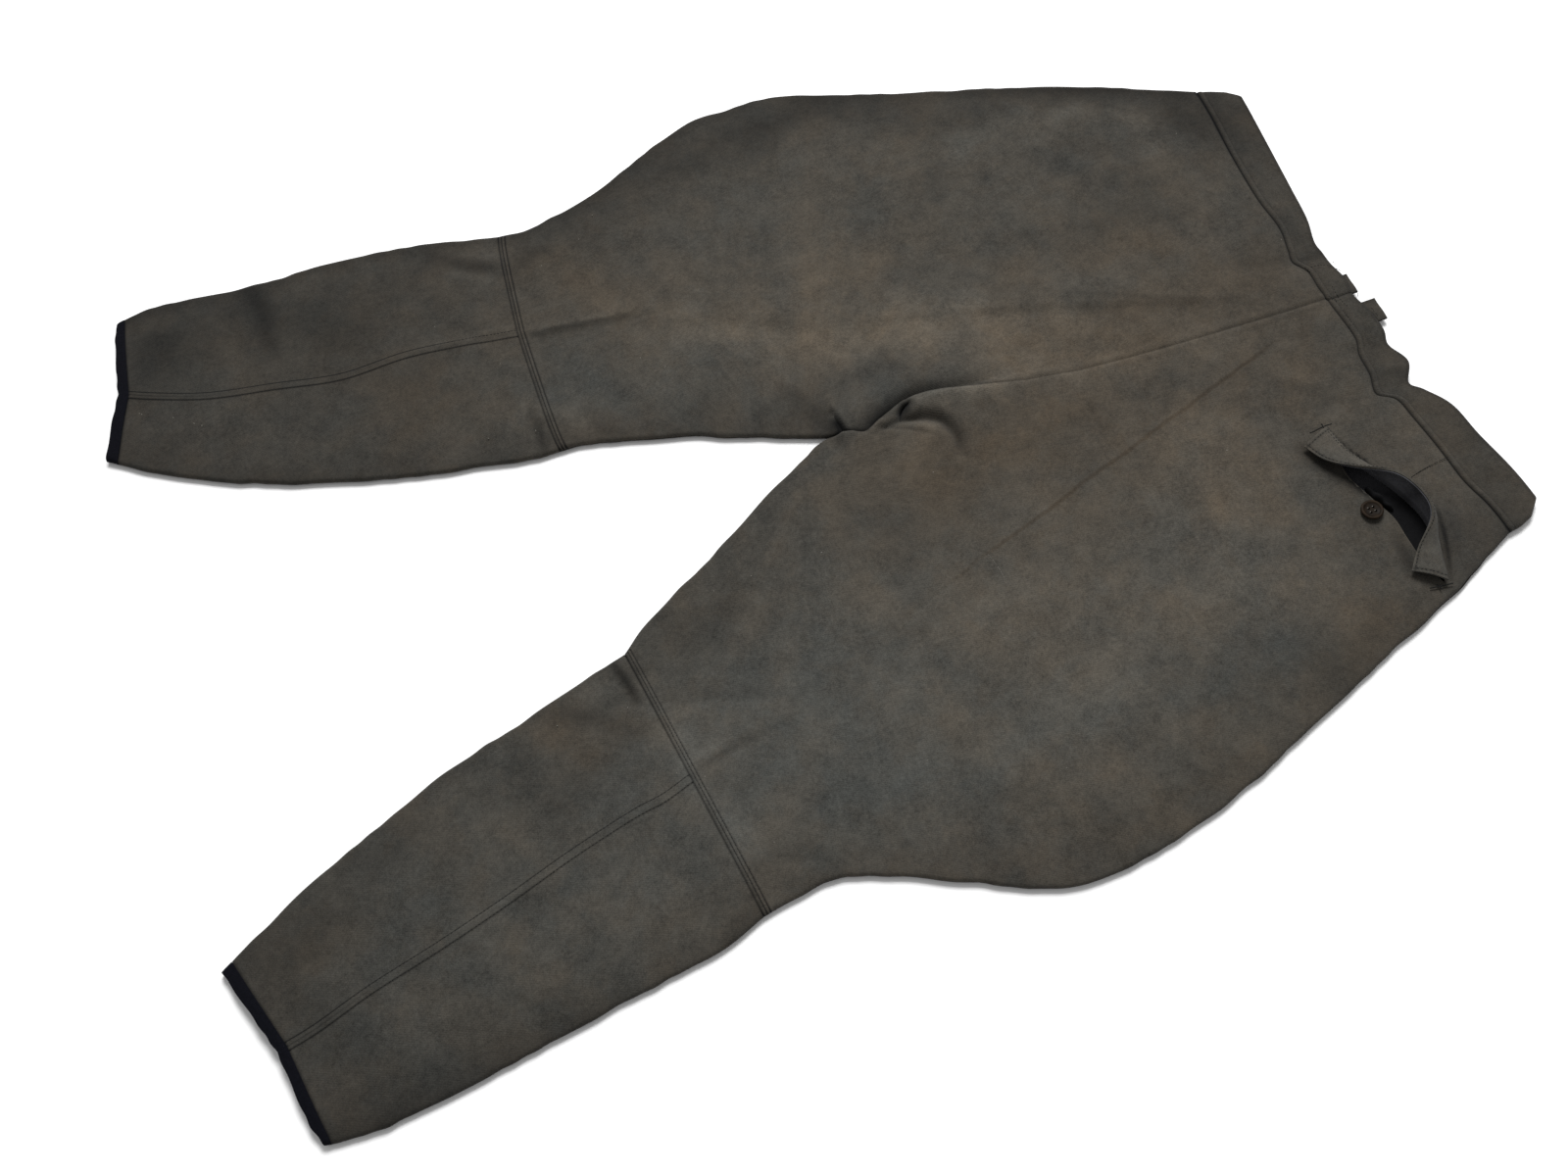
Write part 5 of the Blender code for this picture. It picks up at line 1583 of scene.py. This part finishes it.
# ---------------------------------------------------------------- materials
class Value:
    """A shader socket in a Python expression; each operator adds its Math node."""

    def __init__(self, finish, socket):
        self.finish, self.socket = finish, socket

    def math(self, operation, *values):
        return self.finish.node("ShaderNodeMath", {"operation": operation},
                                dict(enumerate(values)))

    def __add__(self, other):
        return self.math("ADD", self, other)

    def __sub__(self, other):
        return self.math("SUBTRACT", self, other)

    def __rsub__(self, other):
        return self.math("SUBTRACT", other, self)

    def __mul__(self, other):
        return self.math("MULTIPLY", self, other)

    __radd__, __rmul__ = __add__, __mul__

    def held(self):
        """The value kept between 0 and 1."""
        return self.math("MINIMUM", self.math("MAXIMUM", self, 0.0), 1.0)

    def sine(self):
        return self.math("SINE", self)

    def size(self):
        """The value without its sign."""
        return self.math("ABSOLUTE", self)

    def beside(self, output):
        """Another output of the same node."""
        return Value(self.finish, self.socket.node.outputs[output])


class Finish:
    """A material, its node tree and its Principled shader."""

    def __init__(self, name, **constants):
        self.material = bpy.data.materials.new(name)
        self.material.use_nodes = True
        self.tree = self.material.node_tree
        self.shader = self.tree.nodes["Principled BSDF"]
        for key, value in constants.items():
            self.shader.inputs[key.replace("_", " ")].default_value = value

    def feed(self, socket, value):
        if isinstance(value, Value):
            self.tree.links.new(value.socket, socket)
        else:
            socket.default_value = value

    def node(self, kind, settings=None, sockets=None, output=0):
        """Any node: its settings first, then the values or links of its sockets."""
        made = self.tree.nodes.new(kind)
        for key, value in (settings or {}).items():
            setattr(made, key, value)
        for key, value in (sockets or {}).items():
            self.feed(made.inputs[key], value)
        return Value(self, made.outputs[output])

    def place(self):
        return self.node("ShaderNodeTexCoord", output="Object")

    def value(self, name):
        """A number that the mesh holds at each vertex."""
        return self.node("ShaderNodeAttribute", {"attribute_name": name}, output=2)

    def parts(self, vector):
        """A vector's x and y."""
        x = self.node("ShaderNodeSeparateXYZ", {}, {0: vector})
        return x, x.beside(1)

    def grain(self, scale):
        uv = self.node("ShaderNodeUVMap", {"uv_map": "grain"})
        return self.node("ShaderNodeMapping", {}, {"Vector": uv, "Scale": scale})

    def noise(self, vector, scale, detail=2.0, rough=0.5):
        return self.node("ShaderNodeTexNoise", {"noise_dimensions": "3D"},
                         {"Vector": vector, "Scale": scale, "Detail": detail, "Roughness": rough})

    def mix(self, factor, a, b):
        """Colour a, b or between, by a factor from 0 to 1."""
        return self.node("ShaderNodeMix", {"data_type": "RGBA"}, {0: factor, 6: a, 7: b}, 2)

    def scaled(self, colour, factor):
        return self.node("ShaderNodeVectorMath", {"operation": "SCALE"},
                         {0: colour, "Scale": factor})

    def between(self, value, low, high, to_low=0.0, to_high=1.0):
        """A value's place between low and high, moved to between two others and held."""
        return self.node("ShaderNodeMapRange", {"interpolation_type": "SMOOTHSTEP"},
                         {0: value, 1: low, 2: high, 3: to_low, 4: to_high})

    def bump(self, height, distance, strength=1.0):
        return self.node("ShaderNodeBump", {},
                         {"Height": height, "Distance": distance, "Strength": strength})

    def done(self, colour=None, roughness=None, normal=None):
        for name, value in (("Base Color", colour), ("Roughness", roughness), ("Normal", normal)):
            if value is not None:
                self.feed(self.shader.inputs[name], value)
        return self.material


def rgb(red, green, blue):
    return (red, green, blue, 1.0)


COOL_WOOL = rgb(0.0410, 0.0420, 0.0385)
WARM_WOOL = rgb(0.0515, 0.0402, 0.0280)
LINT = rgb(0.24, 0.23, 0.21)
PALE_FLOOR = rgb(0.92, 0.92, 0.92)
# Darkest and lightest colour of each other finish.
TAPE = rgb(0.0011, 0.0012, 0.0022), rgb(0.0042, 0.0045, 0.0076)
TAPE_FIBRE = rgb(0.06, 0.06, 0.065)
POCKETING = rgb(0.0030, 0.0030, 0.0033), rgb(0.0075, 0.0075, 0.0082)
# The flap's lining colour is raised to light it where it lies in the flap's shadow: painted light
# over its own grey.
FLAP_LINING = rgb(0.0300, 0.0300, 0.0325), rgb(0.0600, 0.0600, 0.0655)
DARK_THREAD = rgb(0.003, 0.003, 0.003), rgb(0.008, 0.008, 0.008)
PALE_THREAD = rgb(0.12, 0.11, 0.095), rgb(0.26, 0.25, 0.22)
HORN = rgb(0.0058, 0.0038, 0.0024), rgb(0.0120, 0.0080, 0.0050)
BUTTON_RIM = (0.0055**2, 0.0072**2)  # squared distances between which the rim begins
# The rim's paler colour is a painted highlight where light catches the raised rim.
RIM_HIGHLIGHT = 0.9

WALE = 0.0015  # metres from one wale of the twill to the next
BAND_LEVEL = 0.73  # how dark the waistband's cloth is beside the legs'
# The right leg's pressed crease: y = slope x + start, in metres, how far the clouds make
# it stray, its half width fading out, and the x between which it comes and goes.
CREASE_SLOPE = 0.3135
CREASE_START = -0.143
CREASE_STRAY = 0.010
CREASE_WIDTH = (0.0028, 0.0003)
CREASE_SHADE = 0.32
CREASE_TONE = 0.8
CREASE_COMES = (0.0, 0.17)
CREASE_GOES = (0.405, 0.37)


def wool(name, level=1.0):
    """Fulled wool twill: wales, nap and a little lint, with worn places and painted light and
    shade.

    Its colour is level (1 + shade - crease) grain, where grain sums noises of mean 0.5 to
    a mean of 1. It goes from cool to warm by 0.5 + tone, slow clouds, blotches and the
    crease.
    """
    made = Finish(name, Roughness=0.95, Sheen_Weight=0.05, Sheen_Roughness=0.6,
                  Specular_IOR_Level=0.12)
    place = made.place()
    clouds = made.noise(place, 17.0, 4.0, 0.6)
    dapple = made.noise(place, 80.0, 3.0, 0.6)
    fleck = made.noise(place, 330.0, 3.0, 0.6)
    fibre = made.noise(place, 1150.0, 2.0, 0.75)
    stain = made.between(made.noise(place, 30.0, 5.0, 0.65), 0.42, 0.58, -0.08, 0.08)
    u, v = made.parts(made.grain((1.0, 1.0, 1.0)))
    wale = ((u * 0.78 + v * 0.62) * (math.tau / WALE) + fleck * 5.0).sine()
    grain = 0.95 * clouds + 0.80 * dapple + 0.80 * fleck + 1.45 * fibre + 0.03 * wale - 1.00
    x, y = made.parts(place)
    off = y + CREASE_STRAY * clouds - CREASE_SLOPE * x - CREASE_START
    crease = made.between(off.size(), *CREASE_WIDTH, 0.0, CREASE_SHADE)
    crease = crease * made.between(x, *CREASE_COMES) * made.between(x, *CREASE_GOES)
    brown = (made.value("tone") + 0.9 * clouds + stain + CREASE_TONE * crease + 0.05).held()
    # The shade attribute holds painted light and shade as well as worn and soiled places.
    light = level * (1.0 + made.value("shade") - crease) * grain
    speck = made.node("ShaderNodeTexVoronoi", {"feature": "F1"}, {"Vector": place, "Scale": 60.0})
    kept = made.between(speck.beside(1), 0.72, 0.74)
    lint = made.between(speck, 0.024, 0.012) * kept
    cloth = made.scaled(made.mix(brown, COOL_WOOL, WARM_WOOL), light)
    height = wale * 0.10 + fibre * 0.5 + fleck * 0.6
    return made.done(made.mix(lint, cloth, LINT), normal=made.bump(height, 0.0004, 0.6))


def tape_finish():
    """Dense blue-black tape, flecked, with a few pale fibres."""
    made = Finish("hem_tape", Roughness=0.95, Specular_IOR_Level=0.08)
    place = made.place()
    fleck = made.noise(place, 420.0, 3.0, 0.6)
    fibre = made.noise(place, 1300.0, 2.0, 0.7)
    pale = made.between(fibre, 0.70, 0.78, 0.0, 0.6)
    colour = made.mix(pale, made.mix(fleck.held(), *TAPE), TAPE_FIBRE)
    return made.done(colour, normal=made.bump(fleck + 0.5 * fibre, 0.0006, 0.7))


def lining_finish(name, dark, light):
    """Plain pocketing with a faint blue cast: flecks from dark to light x (1 + shade), the shade
    being painted light and shade.
    """
    made = Finish(name, Roughness=0.9, Specular_IOR_Level=0.06)
    place = made.place()
    fleck = made.noise(place, 420.0, 3.0, 0.6)
    cloth = made.scaled(made.mix(fleck.held(), dark, light), 1.0 + made.value("shade"))
    return made.done(cloth, normal=made.bump(fleck, 0.0003, 0.5))


def thread_finish(name, dark, light):
    """Waxed thread, lighter and darker along its strands."""
    made = Finish(name, Roughness=0.75, Specular_IOR_Level=0.2)
    strand = made.noise(made.place(), 2500.0, 1.0)
    return made.done(made.mix(made.between(strand, 0.3, 0.7), dark, light))


def horn_finish():
    """Dark brown horn, dulled with use, with cloudy streaks and a painted highlight on its rim."""
    made = Finish("button", Roughness=0.6, Specular_IOR_Level=0.06)
    place = made.place()
    streak = made.noise(place, 180.0, 3.0, 0.6)
    colour = made.mix(made.between(streak, 0.35, 0.65), *HORN)
    x, y = made.parts(place)
    x, y = x - BUTTON_AT[0] * MM, y - BUTTON_AT[1] * MM
    rim = made.between(x * x + y * y, *BUTTON_RIM)
    # a painted highlight on the rim
    colour = made.scaled(colour, 1.0 + RIM_HIGHLIGHT * rim)
    rough = made.between(streak, 0.3, 0.7, 0.50, 0.70)
    return made.done(colour, rough, made.bump(streak, 0.0002, 0.5))


# ---------------------------------------------------------------- the garment
def specks(finish):
    """Small tufts of lint: a short thick fibre across each of the DOTS."""
    rows = [(x - 0.5, y, x, y + 0.2, x + 0.5, y - 0.1) for x, y in DOTS]
    return loose_fibres("lint_tufts", rows, finish, 0.5, 1.0)


def dress(made, sewn):
    """Every piece rides on the garment's body, and the walls stand in for their solids."""
    for name, piece in made.items():
        if piece.modifiers:
            settled(piece)
        piece.name = name + "_dressed"
        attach(piece, "root")
        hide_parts(name)
    for piece in sewn.values():
        if piece.modifiers:
            settled(piece)
        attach(piece, "root")


def build():
    """Every piece and its sewing: the two halves, then the pocket and the small things."""
    cloth = wool("wool_cloth")
    band_cloth = wool("waistband_cloth", BAND_LEVEL)
    tape = tape_finish()
    lining = lining_finish("pocket_lining", *POCKETING)
    facing = lining_finish("flap_lining", *FLAP_LINING)
    thread = thread_finish("sewing_thread", *DARK_THREAD)
    pale = thread_finish("pale_thread", *PALE_THREAD)
    made, sewn = {}, {}
    for side in ("left", "right"):
        made["back_" + side] = back_panel(side, cloth)
        made["front_" + side] = front_panel(side, cloth)
        leg, ring, from_seam = lower_leg(side, cloth)
        made["lower_leg_" + side] = leg
        made["hem_binding_" + side] = hem_binding(side, tape)
        made["waistband_" + side] = waistband(side, band_cloth)
        made["waist_loop_" + side] = waist_loop(side, band_cloth)
        sewn["knee_stitching_" + side] = knee_sewing(side, thread)
        sewn["calf_stitching_" + side] = calf_sewing(side, ring, from_seam, thread)
    cut_mouth(made["back_right"], cloth)
    made["pocket_flap"], made["pocket_flap_lining"] = pocket_flap(cloth, facing)
    made["pocket_bag"] = pocket_bag(lining)
    made["pocket_button"] = pocket_button(horn_finish())
    sewn["flap_stitching"] = flap_sewing(thread)
    sewn["bar_tacks"] = bar_tacks(thread)
    sewn["dart_stitching"] = dart_sewing(thread)
    sewn["band_stitching"] = band_sewing(thread)
    sewn["button_thread"] = button_thread(pale)
    sewn["facing_fold"] = facing_fold(lining)
    sewn["frayed_ends"] = frayed_ends(thread)
    sewn["hairs"] = loose_fibres("hairs", HAIRS, pale, 0.12, 2.4)
    sewn["lint_tufts"] = specks(pale)
    dress(made, sewn)


def soft_light(name, place, aim, size, power):
    """A square soft box at a place, turned to face aim."""
    data = bpy.data.lights.new(name, "AREA")
    data.shape, data.size, data.energy = "SQUARE", size, power
    made = bpy.data.objects.new(name, data)
    made.location = place
    made.rotation_euler = (Vector(aim) - Vector(place)).to_track_quat("-Z", "Y").to_euler()
    bpy.context.scene.collection.objects.link(made)


def lay_floor():
    """A square pale floor at FLOOR_Z, under the cloth."""
    mesh = bpy.data.meshes.new("floor")
    corners = [(x * FLOOR_REACH, y * FLOOR_REACH, FLOOR_Z)
               for x, y in ((-1, -1), (1, -1), (1, 1), (-1, 1))]
    mesh.from_pydata(corners, [], [(0, 1, 2, 3)])
    pale = Finish("floor", Base_Color=PALE_FLOOR, Roughness=0.9, Specular_IOR_Level=0.1)
    mesh.materials.append(pale.material)
    floor = bpy.data.objects.new("floor", mesh)
    bpy.context.scene.collection.objects.link(floor)


def light_all_round():
    """Even white light from every side."""
    world = bpy.data.worlds.new("studio")
    world.use_nodes = True
    sky = world.node_tree.nodes["Background"].inputs
    sky["Color"].default_value = rgb(1.0, 1.0, 1.0)
    sky["Strength"].default_value = SKY
    bpy.context.scene.world = world


def place_camera():
    """The camera at EYE, looking along LOOK."""
    scene = bpy.context.scene
    data = bpy.data.cameras.new("camera")
    data.lens, data.sensor_width, data.sensor_fit = LENS, SENSOR, "HORIZONTAL"
    camera = bpy.data.objects.new("camera", data)
    back, right = -LOOK.normalized(), EYE_RIGHT.normalized()
    turn = Matrix((right, back.cross(right), back)).transposed().to_4x4()
    camera.matrix_world = Matrix.Translation(EYE) @ turn
    scene.collection.objects.link(camera)
    scene.camera = camera


def stage():
    """The floor, the studio's light and the camera. Colours are shown as they are lit."""
    lay_floor()
    light_all_round()
    soft_light("key", KEY_PLACE, KEY_AIM, KEY_SIZE, KEY_POWER)
    place_camera()
    bpy.context.scene.view_settings.view_transform = "Standard"


build()
stage()
bpy.context.view_layer.update()
